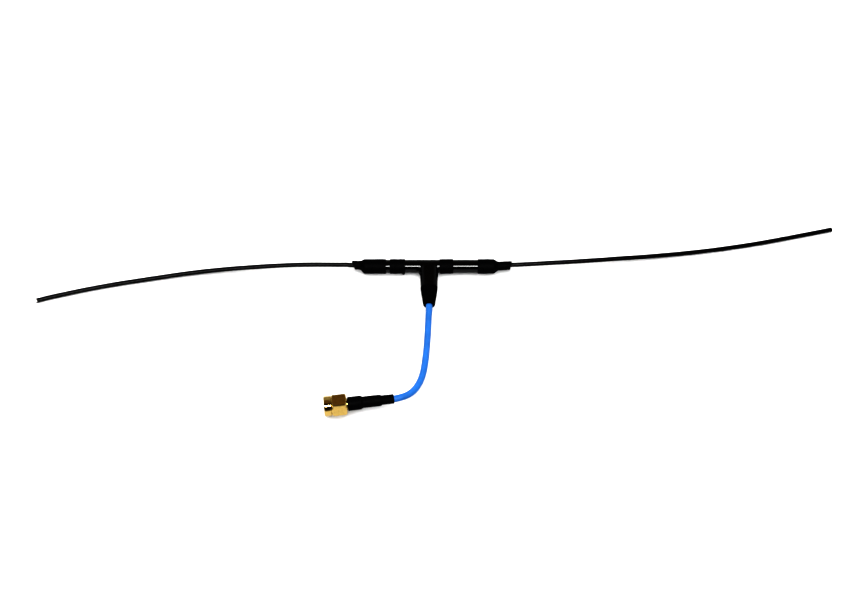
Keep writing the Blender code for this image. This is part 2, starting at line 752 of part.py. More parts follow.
def make_sleeves():
    """Two heat-shrink sleeves, the outer one stepped where it goes over the ferrule."""
    inner_bore = COAX_BORE
    inner_outer = inner_bore + SLEEVE_WALL
    bevel = SLEEVE_WALL / 4.0
    profile = tube_profile(0.0, INNER_SLEEVE_LENGTH, inner_outer, inner_bore, bevel)
    plug_turned("inner_sleeve", profile, shrink_tube())
    bore = inner_outer + RUNNING_FIT
    over = FERRULE_RADIUS + RUNNING_FIT
    wall = OUTER_SLEEVE_WALL
    shoulder = INNER_SLEEVE_LENGTH
    profile = [
        (SLEEVE_STEP, bore),
        (SLEEVE_STEP, bore + wall - bevel),
        (SLEEVE_STEP + bevel, bore + wall),
        (shoulder - SHOULDER_LENGTH, bore + wall),
        (shoulder, over + wall),
        (SLEEVE_END - bevel, over + wall),
        (SLEEVE_END, over + wall - bevel),
        (SLEEVE_END, over),
        (shoulder + RUNNING_FIT, over),
        (shoulder - RUNNING_FIT, bore),
    ]
    plug_turned("outer_sleeve", profile, shrink_tube())


def make_plug_body():
    groove = RING_THICKNESS / 2.0 + NUT_SLIDE + RUNNING_FIT
    floor = RING_INNER_RADIUS - RUNNING_FIT
    middle = GROOVE_MIDDLE
    collar = (SLEEVE_END + NUT_START) / 2.0
    profile = [
        (FERRULE_START + BUTT_GAP, BARREL_RADIUS - EDGE_BEVEL),
        (FERRULE_START + BUTT_GAP + EDGE_BEVEL, BARREL_RADIUS),
        (collar, BARREL_RADIUS),
        (collar, BODY_RADIUS),
        (middle - groove, BODY_RADIUS),
        (middle - groove, floor),
        (middle + groove, floor),
        (middle + groove, BODY_RADIUS),
        (FLANGE_START, BODY_RADIUS),
        (FLANGE_START, FLANGE_RADIUS),
        (FLANGE_END, FLANGE_RADIUS),
        (FLANGE_END, FRONT_TUBE_RADIUS),
        (BODY_FRONT, FRONT_TUBE_RADIUS),
        (BODY_FRONT, FRONT_BORE_RADIUS),
        (BULKHEAD_START, FRONT_BORE_RADIUS),
        (BULKHEAD_START, COAX_BORE),
        (FERRULE_START + BUTT_GAP, COAX_BORE),
    ]
    plug_turned("sma_body", profile, gold_plate())


def make_ferrule():
    start = FERRULE_START
    end = FERRULE_START + FERRULE_LENGTH
    bore = BARREL_RADIUS + RUNNING_FIT
    profile = tube_profile(start, end, FERRULE_RADIUS, bore, EDGE_BEVEL / 2.0)
    plug_turned("crimp_ferrule", profile, gold_plate())


def make_plug_inside():
    start = BULKHEAD_START + RUNNING_FIT
    end = BODY_FRONT - RUNNING_FIT
    bore = PIN_RADIUS + RUNNING_FIT
    bead = FRONT_BORE_RADIUS - RUNNING_FIT
    profile = [(start, bore), (start, bead), (end, bead), (end, bore)]
    plug_turned("sma_insulator", profile, white_insulator())
    tip = NUT_FRONT - PIN_RECESS
    profile = [
        (BULKHEAD_START - PIN_TAIL, PIN_RADIUS),
        (tip - PIN_TAPER, PIN_RADIUS),
        (tip - PIN_TIP_LENGTH, 0.55 * PIN_RADIUS),
        (tip, 0.30 * PIN_RADIUS),
    ]
    plug_turned("sma_center_pin", profile, gold_plate(), hollow=False)
    seat = FLANGE_END + RUNNING_FIT
    bore = FRONT_TUBE_RADIUS + RUNNING_FIT
    profile = tube_profile(seat, seat + GASKET_THICKNESS, bore + GASKET_WIDTH, bore, GASKET_BEVEL)
    plug_turned("sma_gasket", profile, gasket_rubber())


def make_snap_ring():
    """Split ring of square wire, half in the body's groove and half in the nut's."""
    inner = RING_INNER_RADIUS
    outer = inner + RING_WIDTH
    middle = GROOVE_MIDDLE
    half = RING_THICKNESS / 2.0
    rings = []
    for i in range(RING_STEPS + 1):
        angle = RING_GAP_ANGLE / 2.0 + (2.0 * math.pi - RING_GAP_ANGLE) * i / RING_STEPS
        outward = Y_AXIS * math.cos(angle) + Z_AXIS * math.sin(angle)
        corners = ((-half, inner), (half, inner), (half, outer), (-half, outer))
        rings.append([X_AXIS * (middle + along) + outward * radius for along, radius in corners])
    place_on_plug(loft("snap_ring", rings, spring_steel()))


def hex_radius(angle, limit):
    """Distance to the nut's outside at an angle, with its corners turned down to a limit."""
    sector = math.pi / 3.0
    from_flat = (angle % sector) - sector / 2.0
    return min(NUT_ACROSS_FLATS / 2.0 / math.cos(from_flat), limit)


def make_coupling_nut():
    """Hexagon behind, round in front, bored for the body and grooved for the snap ring."""
    count = NUT_SEGMENTS
    rear = NUT_START
    hex_end = rear + NUT_HEX_LENGTH
    front = NUT_FRONT
    chamfer = NUT_CHAMFER
    full = NUT_ACROSS_FLATS
    outside = [
        (rear, NUT_CORNER_RADIUS - chamfer),
        (rear + chamfer, full),
        (hex_end - chamfer / 2.0, full),
        (hex_end, NUT_CORNER_RADIUS),
        (hex_end + NUT_STEP_LENGTH, NUT_ROUND_RADIUS),
        (front - chamfer / 2.0, NUT_ROUND_RADIUS),
        (front, NUT_ROUND_RADIUS - chamfer / 2.0),
    ]
    half_groove = RING_THICKNESS / 2.0 + RUNNING_FIT
    land = BODY_RADIUS + 2.0 * RUNNING_FIT
    groove = RING_INNER_RADIUS + RING_WIDTH + RUNNING_FIT
    middle = GROOVE_MIDDLE
    land_end = rear + NUT_LAND_LENGTH
    inside = [
        (front, NUT_THREAD_RADIUS + chamfer / 2.0),
        (front - chamfer / 2.0, NUT_THREAD_RADIUS),
        (land_end, NUT_THREAD_RADIUS),
        (land_end, land),
        (middle + half_groove, land),
        (middle + half_groove, groove),
        (middle - half_groove, groove),
        (middle - half_groove, land),
        (rear, land),
    ]
    rings = []
    for along, limit in outside:
        points = []
        for i in range(count):
            angle = 2.0 * math.pi * i / count
            radius = hex_radius(angle, limit)
            outward = Y_AXIS * math.cos(angle) + Z_AXIS * math.sin(angle)
            points.append(X_AXIS * along + outward * radius)
        rings.append(points)
    for along, radius in inside:
        rings.append(ring(X_AXIS * along, Y_AXIS, Z_AXIS, radius, count=count))
    place_on_plug(loft("coupling_nut", rings, gold_plate(), hollow=True, sharp_angle=20.0))


def main():
    clear_scene()
    make_shells()
    make_bands()
    make_feed()
    make_coax_lead()
    make_stem_boot()
    for side in SIDES:
        make_end_boot(side)
        make_element(side)
    make_coax_jacket()
    make_sleeves()
    make_plug_body()
    make_ferrule()
    make_plug_inside()
    make_snap_ring()
    make_coupling_nut()


main()
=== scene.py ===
"""Wire dipole antenna: the visual model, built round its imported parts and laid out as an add-on."""

import json
import math
import random

import bmesh
import bpy
import numpy as np
from bpy.props import FloatProperty, FloatVectorProperty, IntProperty, PointerProperty
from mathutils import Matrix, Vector


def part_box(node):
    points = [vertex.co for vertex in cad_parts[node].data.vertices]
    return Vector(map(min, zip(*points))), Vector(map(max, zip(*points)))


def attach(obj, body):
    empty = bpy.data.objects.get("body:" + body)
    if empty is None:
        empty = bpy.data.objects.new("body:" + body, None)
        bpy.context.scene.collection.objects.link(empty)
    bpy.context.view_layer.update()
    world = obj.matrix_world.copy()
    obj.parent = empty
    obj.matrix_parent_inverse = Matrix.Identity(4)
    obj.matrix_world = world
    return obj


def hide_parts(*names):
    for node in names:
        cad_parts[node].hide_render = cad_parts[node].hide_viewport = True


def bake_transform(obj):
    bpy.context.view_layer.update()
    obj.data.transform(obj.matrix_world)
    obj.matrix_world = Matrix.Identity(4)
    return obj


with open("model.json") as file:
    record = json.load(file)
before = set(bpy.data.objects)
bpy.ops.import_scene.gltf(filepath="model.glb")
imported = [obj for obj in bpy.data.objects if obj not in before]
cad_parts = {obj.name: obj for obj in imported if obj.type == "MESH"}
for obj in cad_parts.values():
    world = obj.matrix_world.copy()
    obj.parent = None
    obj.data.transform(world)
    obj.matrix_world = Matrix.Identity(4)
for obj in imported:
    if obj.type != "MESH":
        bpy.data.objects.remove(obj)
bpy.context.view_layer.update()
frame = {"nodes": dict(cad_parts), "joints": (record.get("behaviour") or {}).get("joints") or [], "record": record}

bl_info = {
    "name": "Wire Dipole Antenna",
    "version": (1, 0, 0),
    "blender": (4, 5, 0),
    "location": "3D View > Sidebar > Antenna",
    "description": "Builds a wire dipole antenna with a tee hub, two coated elements and a coax pigtail",
    "category": "Object",
}

MM = 0.001
TURN = 2.0 * math.pi
X_AXIS = Vector((1.0, 0.0, 0.0))
Y_AXIS = Vector((0.0, 1.0, 0.0))
Z_AXIS = Vector((0.0, 0.0, 1.0))
SIDES = {"left": -1.0, "right": 1.0}
JOINTS = {joint["name"]: joint for joint in frame["joints"]}
PIVOTS = {side: Vector(JOINTS[side + "_element_flex"]["pos_m"]) for side in SIDES}
PLUG_AXIS = Vector(JOINTS["nut_spin"]["axis"]).normalized()
PLUG_REAR = Vector(JOINTS["nut_spin"]["pos_m"])
PLUG_SIDE = Z_AXIS.cross(PLUG_AXIS).normalized()


def node_low(node):
    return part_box(node)[0]


def node_high(node):
    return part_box(node)[1]


def node_middle(node):
    low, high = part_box(node)
    return (low + high) / 2.0


def along_plug(point):
    """Distance of a point from the nut's rear, measured along the plug."""
    return (Vector(point) - PLUG_REAR).dot(PLUG_AXIS)


AXIS_HEIGHT = node_middle("left_band").z
STEM_HALF_HEIGHT = node_high("tee_upper_shell").z - AXIS_HEIGHT
BAR_RADIUS = STEM_HALF_HEIGHT - 0.02 * MM
BAR_HALF_LENGTH = node_high("tee_upper_shell").x
HUB_CENTRE = Vector((0.0, 0.0, AXIS_HEIGHT))
BAND_RADIUS = (node_high("left_band").z - node_low("left_band").z) / 2.0
STEM_END = -node_low("tee_upper_shell").y
RELIEF_MOUTH = -node_low("stem_boot").y
LEAD_SLOPE = 0.048
LEAD_SLOPE_START = 18.0 * MM

# How much shorter the slanting cut leaves each end boot's near side, and how far its neck lies off its wire
BOOT_CUT = {"left": 1.2 * MM, "right": 0.8 * MM}
NECK_SHIFT = {"left": 0.06 * MM, "right": -0.30 * MM}

# Share of a shrunk tube's wall that rolls over at its ends
ROLLED_SHARE = 0.9

# Slope of the cut across each wire's end
CUT_SLANT = {"left": 0.55, "right": 0.30}

# Seeds of the small waves in each piece's surface
WIRE_SEED = {"left": 11, "right": 17}
BAND_SEED = {"left_band": 31, "right_band": 32}
BOOT_SEED = {"left": 41, "right": 47}

# Points round the pieces
COAX_POINTS = 36
TUBE_POINTS = 72
NUT_POINTS = 180

# Corners sharper than this stay sharp when a piece is shaded smooth
SHARP_CORNER = math.radians(38.0)
SHELL_SHARP_CORNER = math.radians(50.0)

# How far apart two distances may be while soft_least still blends them, for a fillet of radius one
FILLET_BLEND = 2.0

# Studio
FLOOR_HALF = 30.0
KEY_ELEVATION = math.radians(56.0)
KEY_REACH = 0.62
KEY_OFFSET = 0.01
KEY_SIZE = (0.42, 0.08)
FILL_ANGLE = math.radians(100.0)

# The mix node's colour sockets, which share their names with its number sockets
MIX_FRONT, MIX_BEHIND, MIX_RESULT = 6, 7, 2

# What the glossy pieces mirror in front and behind: its brightness low down, the sines of the elevations
# between which it fades, and its colour above them
SURROUNDINGS = (
    (MIX_FRONT, 0.60, 0.11, 0.20, (0.03, 0.03, 0.03)),
    (MIX_BEHIND, 0.60, 0.68, 0.80, (0.25, 0.17, 0.09)),
)

# The elements' routes, as the model holds them: outwards from the pivot, across from the bar's axis,
# and above where the wire lies flat
WIRE_REST_HEIGHT = 1.00 * MM
ELEMENT_ROUTE = {
    "left": [
        (0.0229, 0.00095, 0.00181),
        (0.0429, 0.00006, 0.00120),
        (0.0626, -0.00168, 0.00055),
        (0.0821, -0.00482, 0.00010),
        (0.1012, -0.00860, 0.0),
        (0.1199, -0.01346, 0.0),
        (0.1274, -0.01584, 0.0),
    ],
    "right": [
        (0.0151, 0.00180, 0.00195),
        (0.0285, 0.00302, 0.00161),
        (0.0420, 0.00449, 0.00117),
        (0.0624, 0.00683, 0.00053),
        (0.0830, 0.00971, 0.00010),
        (0.1039, 0.01348, 0.0),
        (0.1252, 0.01827, 0.0),
        (0.1373, 0.02115, 0.0),
    ],
}

# The coax's route from the stem to the plug, as the model holds it
COAX_ROUTE = [
    (0.00000, -0.0215, 0.00300),
    (-0.00020, -0.0245, 0.00275),
    (-0.00035, -0.0281, 0.00235),
    (-0.00052, -0.0316, 0.00195),
    (-0.00074, -0.0352, 0.00165),
    (-0.00100, -0.0388, 0.00148),
    (-0.00132, -0.0425, 0.00145),
    (-0.00172, -0.0462, 0.00150),
    (-0.00230, -0.0499, 0.00172),
    (-0.00325, -0.0536, 0.00215),
    (-0.00440, -0.0564, 0.00258),
    (-0.00572, -0.0586, 0.00297),
    (-0.00720, -0.0603, 0.00335),
    (-0.00880, -0.0615, 0.00368),
    (-0.01050, -0.0623, 0.00390),
    (-0.01200, -0.06278, 0.00399),
]


# ---------------------------------------------------------------- settings


def length_property(name, description, default_mm, low_mm=0.01, high_mm=500.0):
    return FloatProperty(
        name=name,
        description=description,
        default=default_mm * MM,
        min=low_mm * MM,
        max=high_mm * MM,
        unit="LENGTH",
        precision=5,
    )


def colour_property(name, description, default):
    return FloatVectorProperty(
        name=name,
        description=description,
        default=default,
        size=3,
        min=0.0,
        max=1.0,
        subtype="COLOR",
    )


class ElementSettings(bpy.types.PropertyGroup):
    """Sizes of the two springy coated wires."""

    radius: length_property("Coated radius", "Radius over the coating's ridges", 1.00)
    groove: length_property("Groove depth", "Depth of the coating between two strands", 0.085)
    lay: length_property("Lay", "Length of one full turn of the strands", 10.5)
    strands: IntProperty(name="Outer strands", description="Strands round the middle one", default=6, min=3)
    strand_radius: length_property("Strand radius", "Radius of one steel strand", 0.186)
    bore: length_property("Bore radius", "Inside radius of the coating", 0.63)
    row_step: length_property("Row step", "Distance between rings of the coating's mesh", 0.45)
    flex_zone: length_property("Flex zone", "Length over which the wire bends at its boot", 8.0)
    stub: length_property("Strand stub", "How far the cut strands stand out of the coating", 0.16)


class ShrinkSettings(bpy.types.PropertyGroup):
    """Sizes of the heat-shrink bands, boots and sleeves."""

    wall: length_property("Wall", "Thickness of a shrunk tube's open end", 0.24)
    ripple: length_property("Ripple", "Depth of the waves that shrinking leaves", 0.030)
    pucker: length_property("Pucker", "Depth of the folds where the tube narrows", 0.060)
    shoulder: length_property("Shoulder", "How far past the bar's end a boot starts to narrow", 0.10)
    taper: length_property("Taper", "Length over which a boot narrows", 2.10)
    overhang: length_property("Overhang", "How far the long side of a boot's cut stands out", 0.20)
    wire_gap: length_property("Wire gap", "Gap between a boot's neck and its wire", 0.03)
    neck_wall: length_property("Neck wall", "Thickness of a boot where it grips its wire", 0.84)


class CoaxSettings(bpy.types.PropertyGroup):
    """Sizes of the coax pigtail."""

    radius: length_property("Radius", "Outside radius of the blue jacket", 1.32)
    point_step: length_property("Point step", "Distance between rings of the jacket's mesh", 0.55)


class HousingSettings(bpy.types.PropertyGroup):
    """Sizes of the two glossy shells of the tee."""

    parting: length_property("Parting gap", "Gap between the two shells", 0.10)
    left_fillet: length_property("Left fillet", "Radius where the stem flows into the bar's left half", 1.3)
    right_fillet: length_property(
        "Right fillet", "Radius where the stem flows into the bar's right half", 0.6
    )
    edge: length_property("Edge radius", "Rounding of the shells' outside edges", 0.12)
    voxel: length_property("Mesh size", "Size of the faces that the shells are built from", 0.20)
    wall: length_property("Wall", "Thickness of the bar's wall", 0.80)
    stem_wall: length_property("Stem wall", "Thickness of the stem's wall", 0.95)
    stem_half_width: length_property("Stem half width", "Half the stem's width at its foot", 3.5)
    stem_taper: length_property("Stem taper", "How much wider each side of the stem is at the bar", 0.35)
    stem_corner: length_property("Stem corner", "Radius of the stem's long edges", 2.2)


class PlugSettings(bpy.types.PropertyGroup):
    """Sizes of the gold screw-on plug."""

    across_flats: length_property("Across flats", "Width of the hexagon", 8.0)
    round_radius: length_property("Round radius", "Radius of the nut's round front", 3.95)
    corner_radius: length_property(
        "Corner radius", "Radius that the hexagon's corners are turned down to", 4.45
    )
    hex_length: length_property("Hexagon length", "Length of the hexagonal part", 5.7)
    thread_pitch: length_property("Thread pitch", "Pitch of the inside thread", 0.7056)
    thread_depth: length_property("Thread depth", "Depth of the inside thread", 0.28)
    bore_radius: length_property("Bore radius", "Mean radius of the inside thread", 2.90)


class FinishSettings(bpy.types.PropertyGroup):
    """Colours of the antenna's materials."""

    hub: colour_property("Hub plastic", "Glossy moulded plastic of the tee", (0.0005, 0.0005, 0.0005))
    shrink: colour_property("Heat shrink", "Satin shrink tube", (0.0007, 0.0007, 0.0008))
    relief: colour_property("Strain relief", "Matte moulded rubber", (0.0006, 0.0006, 0.0006))
    coating: colour_property("Wire coating", "Coating over the strands", (0.0008, 0.0008, 0.0009))
    coax: colour_property("Coax jacket", "Blue jacket", (0.014, 0.090, 0.30))
    gold: colour_property("Gold", "Plating on the plug", (0.36, 0.25, 0.075))
    floor: colour_property("Floor", "Pale floor", (0.72, 0.72, 0.72))


class StudioSettings(bpy.types.PropertyGroup):
    """Camera and lights."""

    elevation: FloatProperty(
        name="Elevation",
        description="Camera's angle above the floor",
        default=math.radians(55.0),
        subtype="ANGLE",
    )
    distance: length_property(
        "Distance", "From the camera to the point that it looks at", 420.9, 50.0, 2000.0
    )
    aim: FloatVectorProperty(
        name="Aim",
        description="Point that the camera looks at",
        default=(-0.00165, -0.0157, 0.00305),
        size=3,
        subtype="TRANSLATION",
        precision=5,
    )
    lens: FloatProperty(
        name="Lens", description="Focal length in millimetres", default=44.07, min=10.0, max=200.0
    )
    key_power: FloatProperty(
        name="Key power", description="Power of the key light in watts", default=14.0, min=0.0
    )
    fill_power: FloatProperty(
        name="Fill strength", description="Strength of the overhead fill", default=6.6, min=0.0
    )


# ---------------------------------------------------------------- geometry helpers


def smooth_curve(route, step):
    """Points about one step apart on a smooth curve through the route's own points."""
    ends = [route[0] * 2.0 - route[1]] + list(route) + [route[-1] * 2.0 - route[-2]]
    points = []
    for before, start, end, after in zip(ends, ends[1:], ends[2:], ends[3:]):
        pieces = max(1, round((end - start).length / step))
        for i in range(pieces):
            t = i / pieces
            points.append(
                0.5
                * (
                    2.0 * start
                    + (end - before) * t
                    + (2.0 * before - 5.0 * start + 4.0 * end - after) * t * t
                    + (3.0 * start - before - 3.0 * end + after) * t * t * t
                )
            )
    points.append(route[-1].copy())
    return points


def even_curve(route, step):
    """The smooth curve again, with its points an even step apart, and each point's distance along it."""
    fine = np.array(smooth_curve(route, step / 3.0))
    gaps = np.linalg.norm(np.diff(fine, axis=0), axis=1)
    travelled = np.concatenate(([0.0], np.cumsum(gaps)))
    count = max(2, round(travelled[-1] / step) + 1)
    distances = np.linspace(0.0, travelled[-1], count)
    points = np.column_stack([np.interp(distances, travelled, fine[:, i]) for i in range(3)])
    return points, distances


def path_frames(points):
    """Tangent, side and up at each point of a path that never stands on end."""
    tangents = np.gradient(points, axis=0)
    tangents /= np.linalg.norm(tangents, axis=1)[:, None]
    sides = np.cross(np.array(Z_AXIS), tangents)
    sides /= np.linalg.norm(sides, axis=1)[:, None]
    return tangents, sides, np.cross(tangents, sides)


def around(count):
    return np.arange(count) * TURN / count


def copies(direction, count):
    return np.tile(np.array(direction), (count, 1))


def rings(points, sides, ups, radii, angles):
    """Rows of points round a path; radii is one number a row, or one for each point of each row."""
    radii = np.asarray(radii, float)
    if radii.ndim < 2:
        radii = np.broadcast_to(radii.reshape(-1, 1), (len(points), len(angles)))
    across = sides[:, None, :] * np.cos(angles)[None, :, None]
    above = ups[:, None, :] * np.sin(angles)[None, :, None]
    return points[:, None, :] + (across + above) * radii[:, :, None]


def straight_rings(origin, axis, side, stations, radii, angles):
    """Rows of points round a straight axis, at stations along it."""
    points = np.array([origin + axis * station for station in stations])
    return rings(points, copies(side, len(stations)), copies(axis.cross(side), len(stations)), radii, angles)


def plug_rings(stations, radii, angles):
    """Rows of points round the plug, at stations measured from the nut's rear."""
    return straight_rings(PLUG_REAR, PLUG_AXIS, PLUG_SIDE, stations, radii, angles)


def skin(name, rows, closed=False):
    """A closed mesh through rows of points: its last row joins its first, or else both ends are capped."""
    count, width = rows.shape[0], rows.shape[1]
    faces = []
    for i in range(count if closed else count - 1):
        near = i * width
        far = ((i + 1) % count) * width
        for j in range(width):
            k = (j + 1) % width
            faces.append((near + j, near + k, far + k, far + j))
    if not closed:
        faces.append(tuple(range(width)))
        faces.append(tuple(reversed(range((count - 1) * width, count * width))))
    mesh = bpy.data.meshes.new(name)
    mesh.from_pydata(rows.reshape(-1, 3).tolist(), [], faces)
    return outward(name, mesh)


def add_object(name, data):
    made = bpy.data.objects.new(name, data)
    bpy.context.scene.collection.objects.link(made)
    return made


def add_smooth(name, mesh, sharp_corner=SHARP_CORNER):
    """An object from a mesh, with its round parts shaded smooth."""
    mesh.shade_smooth()
    mesh.set_sharp_from_angle(angle=sharp_corner)
    return add_object(name, mesh)


def tube(name, outer, inner):
    """A closed tube from its outside's rows and then its inside's, which run back to the start."""
    return skin(name, np.concatenate((outer, inner)), closed=True)


def outward(name, mesh):
    """A smooth object from a mesh, with its faces turned outwards."""
    edit = bmesh.new()
    edit.from_mesh(mesh)
    bmesh.ops.recalc_face_normals(edit, faces=edit.faces[:])
    edit.to_mesh(mesh)
    edit.free()
    return add_smooth(name, mesh)


def join_meshes(name, objects):
    """One object from several, each still a closed body of its own."""
    edit = bmesh.new()
    for piece in objects:
        edit.from_mesh(piece.data)
        bpy.data.objects.remove(piece, do_unlink=True)
    mesh = bpy.data.meshes.new(name)
    edit.to_mesh(mesh)
    edit.free()
    return add_smooth(name, mesh)


def split(pairs):
    """Stations and radii of a profile, as two lists."""
    return [station for station, _ in pairs], [radius for _, radius in pairs]


def ripples(seed, stations, angles, wave_length, lobes=9):
    """Smooth waves between about -1 and 1 over a surface, made of a few seeded sines."""
    chance = random.Random(seed)
    total = np.zeros((len(stations), len(angles)))
    count = 14
    for _ in range(count):
        turns = chance.randint(0, lobes)
        swing = chance.uniform(0.3, 1.0) * TURN / wave_length * chance.choice((-1.0, 1.0))
        phase = chance.uniform(0.0, TURN)
        total += np.sin(turns * angles[None, :] + swing * np.asarray(stations)[:, None] + phase)
    return total / math.sqrt(count)


def smooth_step(value):
    value = np.clip(value, 0.0, 1.0)
    return value * value * (3.0 - 2.0 * value)


def dress(made, body, slot, *nodes):
    """Gives a piece the material made for its slot, puts it under its body and hides the nodes that it stands for.
    """
    made.data.materials.clear()
    made.data.materials.append(finish_for(slot))
    if body:
        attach(made, body)
    if nodes:
        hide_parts(*nodes)
    return made


# ---------------------------------------------------------------- materials


class Nodes:
    """Short calls for building one material's node tree."""

    def __init__(self, name):
        self.material = bpy.data.materials.new(name)
        self.material.use_nodes = True
        self.tree = self.material.node_tree
        self.shader = self.tree.nodes["Principled BSDF"]

    def add(self, kind, **values):
        node = self.tree.nodes.new(kind)
        for name, value in values.items():
            setattr(node, name, value)
        return node

    def link(self, source, target):
        self.tree.links.new(source, target)

    def place(self, turn=0.0, stretch=(1.0, 1.0, 1.0)):
        """The object's own coordinates, turned about +Z and stretched."""
        coordinates = self.add("ShaderNodeTexCoord")
        mapping = self.add("ShaderNodeMapping")
        mapping.inputs["Rotation"].default_value = (0.0, 0.0, turn)
        mapping.inputs["Scale"].default_value = stretch
        self.link(coordinates.outputs["Object"], mapping.inputs["Vector"])
        return mapping.outputs["Vector"]

    def noise(self, vector, scale, detail=4.0, roughness=0.55):
        node = self.add("ShaderNodeTexNoise")
        node.inputs["Scale"].default_value = scale
        node.inputs["Detail"].default_value = detail
        node.inputs["Roughness"].default_value = roughness
        self.link(vector, node.inputs["Vector"])
        return node.outputs["Fac"]

    def spread(self, value, low, high, start=0.3, end=0.7):
        node = self.add("ShaderNodeMapRange")
        node.inputs["From Min"].default_value = start
        node.inputs["From Max"].default_value = end
        node.inputs["To Min"].default_value = low
        node.inputs["To Max"].default_value = high
        self.link(value, node.inputs["Value"])
        return node.outputs["Result"]

    def colours(self, value, stops):
        node = self.add("ShaderNodeValToRGB")
        ramp = node.color_ramp
        while len(ramp.elements) < len(stops):
            ramp.elements.new(0.5)
        for element, (place, colour) in zip(ramp.elements, stops):
            element.position = place
            element.color = (*colour, 1.0)
        self.link(value, node.inputs["Fac"])
        return node.outputs["Color"]

    def bump(self, height, strength, distance, before=None):
        node = self.add("ShaderNodeBump")
        node.inputs["Strength"].default_value = strength
        node.inputs["Distance"].default_value = distance
        self.link(height, node.inputs["Height"])
        if before is not None:
            self.link(before, node.inputs["Normal"])
        return node.outputs["Normal"]

    def finish(self, colour=None, roughness=None, normal=None, **constants):
        for socket, value in (("Base Color", colour), ("Roughness", roughness), ("Normal", normal)):
            if value is not None:
                self.link(value, self.shader.inputs[socket])
        for name, value in constants.items():
            self.shader.inputs[name.replace("_", " ")].default_value = value
        return self.material


def shade(colour, factor):
    return tuple(min(1.0, part * factor) for part in colour)


def hub_plastic(colour):
    """Glossy moulding: a polished skin with faint swirl marks and a few dull patches."""
    nodes = Nodes("hub_plastic")
    place = nodes.place()
    cloud = nodes.noise(place, 260.0)
    swirl = nodes.noise(nodes.place(stretch=(0.25, 1.0, 1.0)), 5200.0, 3.0)
    fine = nodes.noise(place, 9000.0, 2.0)
    tint = nodes.colours(cloud, ((0.3, shade(colour, 0.8)), (0.7, shade(colour, 1.35))))
    rough = nodes.spread(swirl, 0.08, 0.15)
    normal = nodes.bump(cloud, 0.10, 0.00004)
    normal = nodes.bump(fine, 0.06, 0.000008, normal)
    return nodes.finish(tint, rough, normal, Specular_IOR_Level=0.11)


def shrink_tube(colour):
    """Satin heat-shrink: soft lengthwise flow marks, small dents and specks of dust."""
    nodes = Nodes("shrink_tube")
    place = nodes.place()
    flow = nodes.noise(nodes.place(stretch=(0.35, 1.0, 1.0)), 2600.0, 5.0)
    dents = nodes.noise(place, 1100.0, 3.0)
    grain = nodes.noise(place, 12000.0, 2.0)
    tint = nodes.colours(dents, ((0.25, shade(colour, 0.75)), (0.62, colour), (0.9, shade(colour, 2.2))))
    rough = nodes.spread(flow, 0.50, 0.68)
    normal = nodes.bump(dents, 0.35, 0.00006)
    normal = nodes.bump(flow, 0.25, 0.00003, normal)
    normal = nodes.bump(grain, 0.12, 0.00001, normal)
    return nodes.finish(tint, rough, normal, Specular_IOR_Level=0.010)


def relief_rubber(colour):
    """Matte moulded rubber with a fine spark-eroded grain."""
    nodes = Nodes("relief_rubber")
    place = nodes.place()
    grain = nodes.noise(place, 7000.0, 6.0, 0.7)
    cloud = nodes.noise(place, 380.0)
    tint = nodes.colours(cloud, ((0.3, shade(colour, 0.8)), (0.75, shade(colour, 1.6))))
    rough = nodes.spread(cloud, 0.62, 0.78)
    normal = nodes.bump(grain, 0.45, 0.00003)
    return nodes.finish(tint, rough, normal, Specular_IOR_Level=0.005)


def wire_coating(colour):
    """Thin coating over strands: semi-gloss, scuffed dull in places."""
    nodes = Nodes("wire_coating")
    place = nodes.place()
    scuff = nodes.noise(nodes.place(stretch=(0.3, 1.0, 1.0)), 1500.0, 5.0)
    grain = nodes.noise(place, 9000.0, 3.0)
    tint = nodes.colours(scuff, ((0.3, shade(colour, 0.8)), (0.6, colour), (0.85, shade(colour, 1.9))))
    rough = nodes.spread(scuff, 0.14, 0.26)
    normal = nodes.bump(grain, 0.22, 0.00002)
    return nodes.finish(tint, rough, normal, Specular_IOR_Level=0.035)


def coax_jacket(colour):
    """Smooth blue jacket with faint die lines, handling marks and a soft sheen."""
    nodes = Nodes("coax_jacket")
    place = nodes.place()
    cloud = nodes.noise(place, 330.0, 4.0)
    lines = nodes.noise(nodes.place(stretch=(1.0, 0.06, 1.0)), 4200.0, 3.0)
    grain = nodes.noise(place, 8000.0, 2.0)
    stops = ((0.3, shade(colour, 0.86)), (0.55, colour), (0.8, shade(colour, 1.14)))
    tint = nodes.colours(cloud, stops)
    rough = nodes.spread(lines, 0.30, 0.42)
    normal = nodes.bump(lines, 0.12, 0.00002)
    normal = nodes.bump(grain, 0.08, 0.00001, normal)
    return nodes.finish(tint, rough, normal, Specular_IOR_Level=0.04)


def plug_turn():
    return math.atan2(PLUG_AXIS.y, PLUG_AXIS.x)


def gold_plate(colour):
    """Bright plating over turned brass: fine tool rings, small stains and softer, paler wear."""
    nodes = Nodes("gold_plate")
    turned = nodes.place(-plug_turn(), (1.0, 0.05, 0.05))
    place = nodes.place()
    tool = nodes.noise(turned, 16000.0, 2.0)
    stain = nodes.noise(place, 900.0, 5.0)
    stops = ((0.28, shade(colour, 0.78)), (0.5, colour), (0.8, shade(colour, 1.12)))
    tint = nodes.colours(stain, stops)
    rough = nodes.spread(stain, 0.035, 0.08)
    normal = nodes.bump(tool, 0.20, 0.000012)
    return nodes.finish(tint, rough, normal, Metallic=1.0)


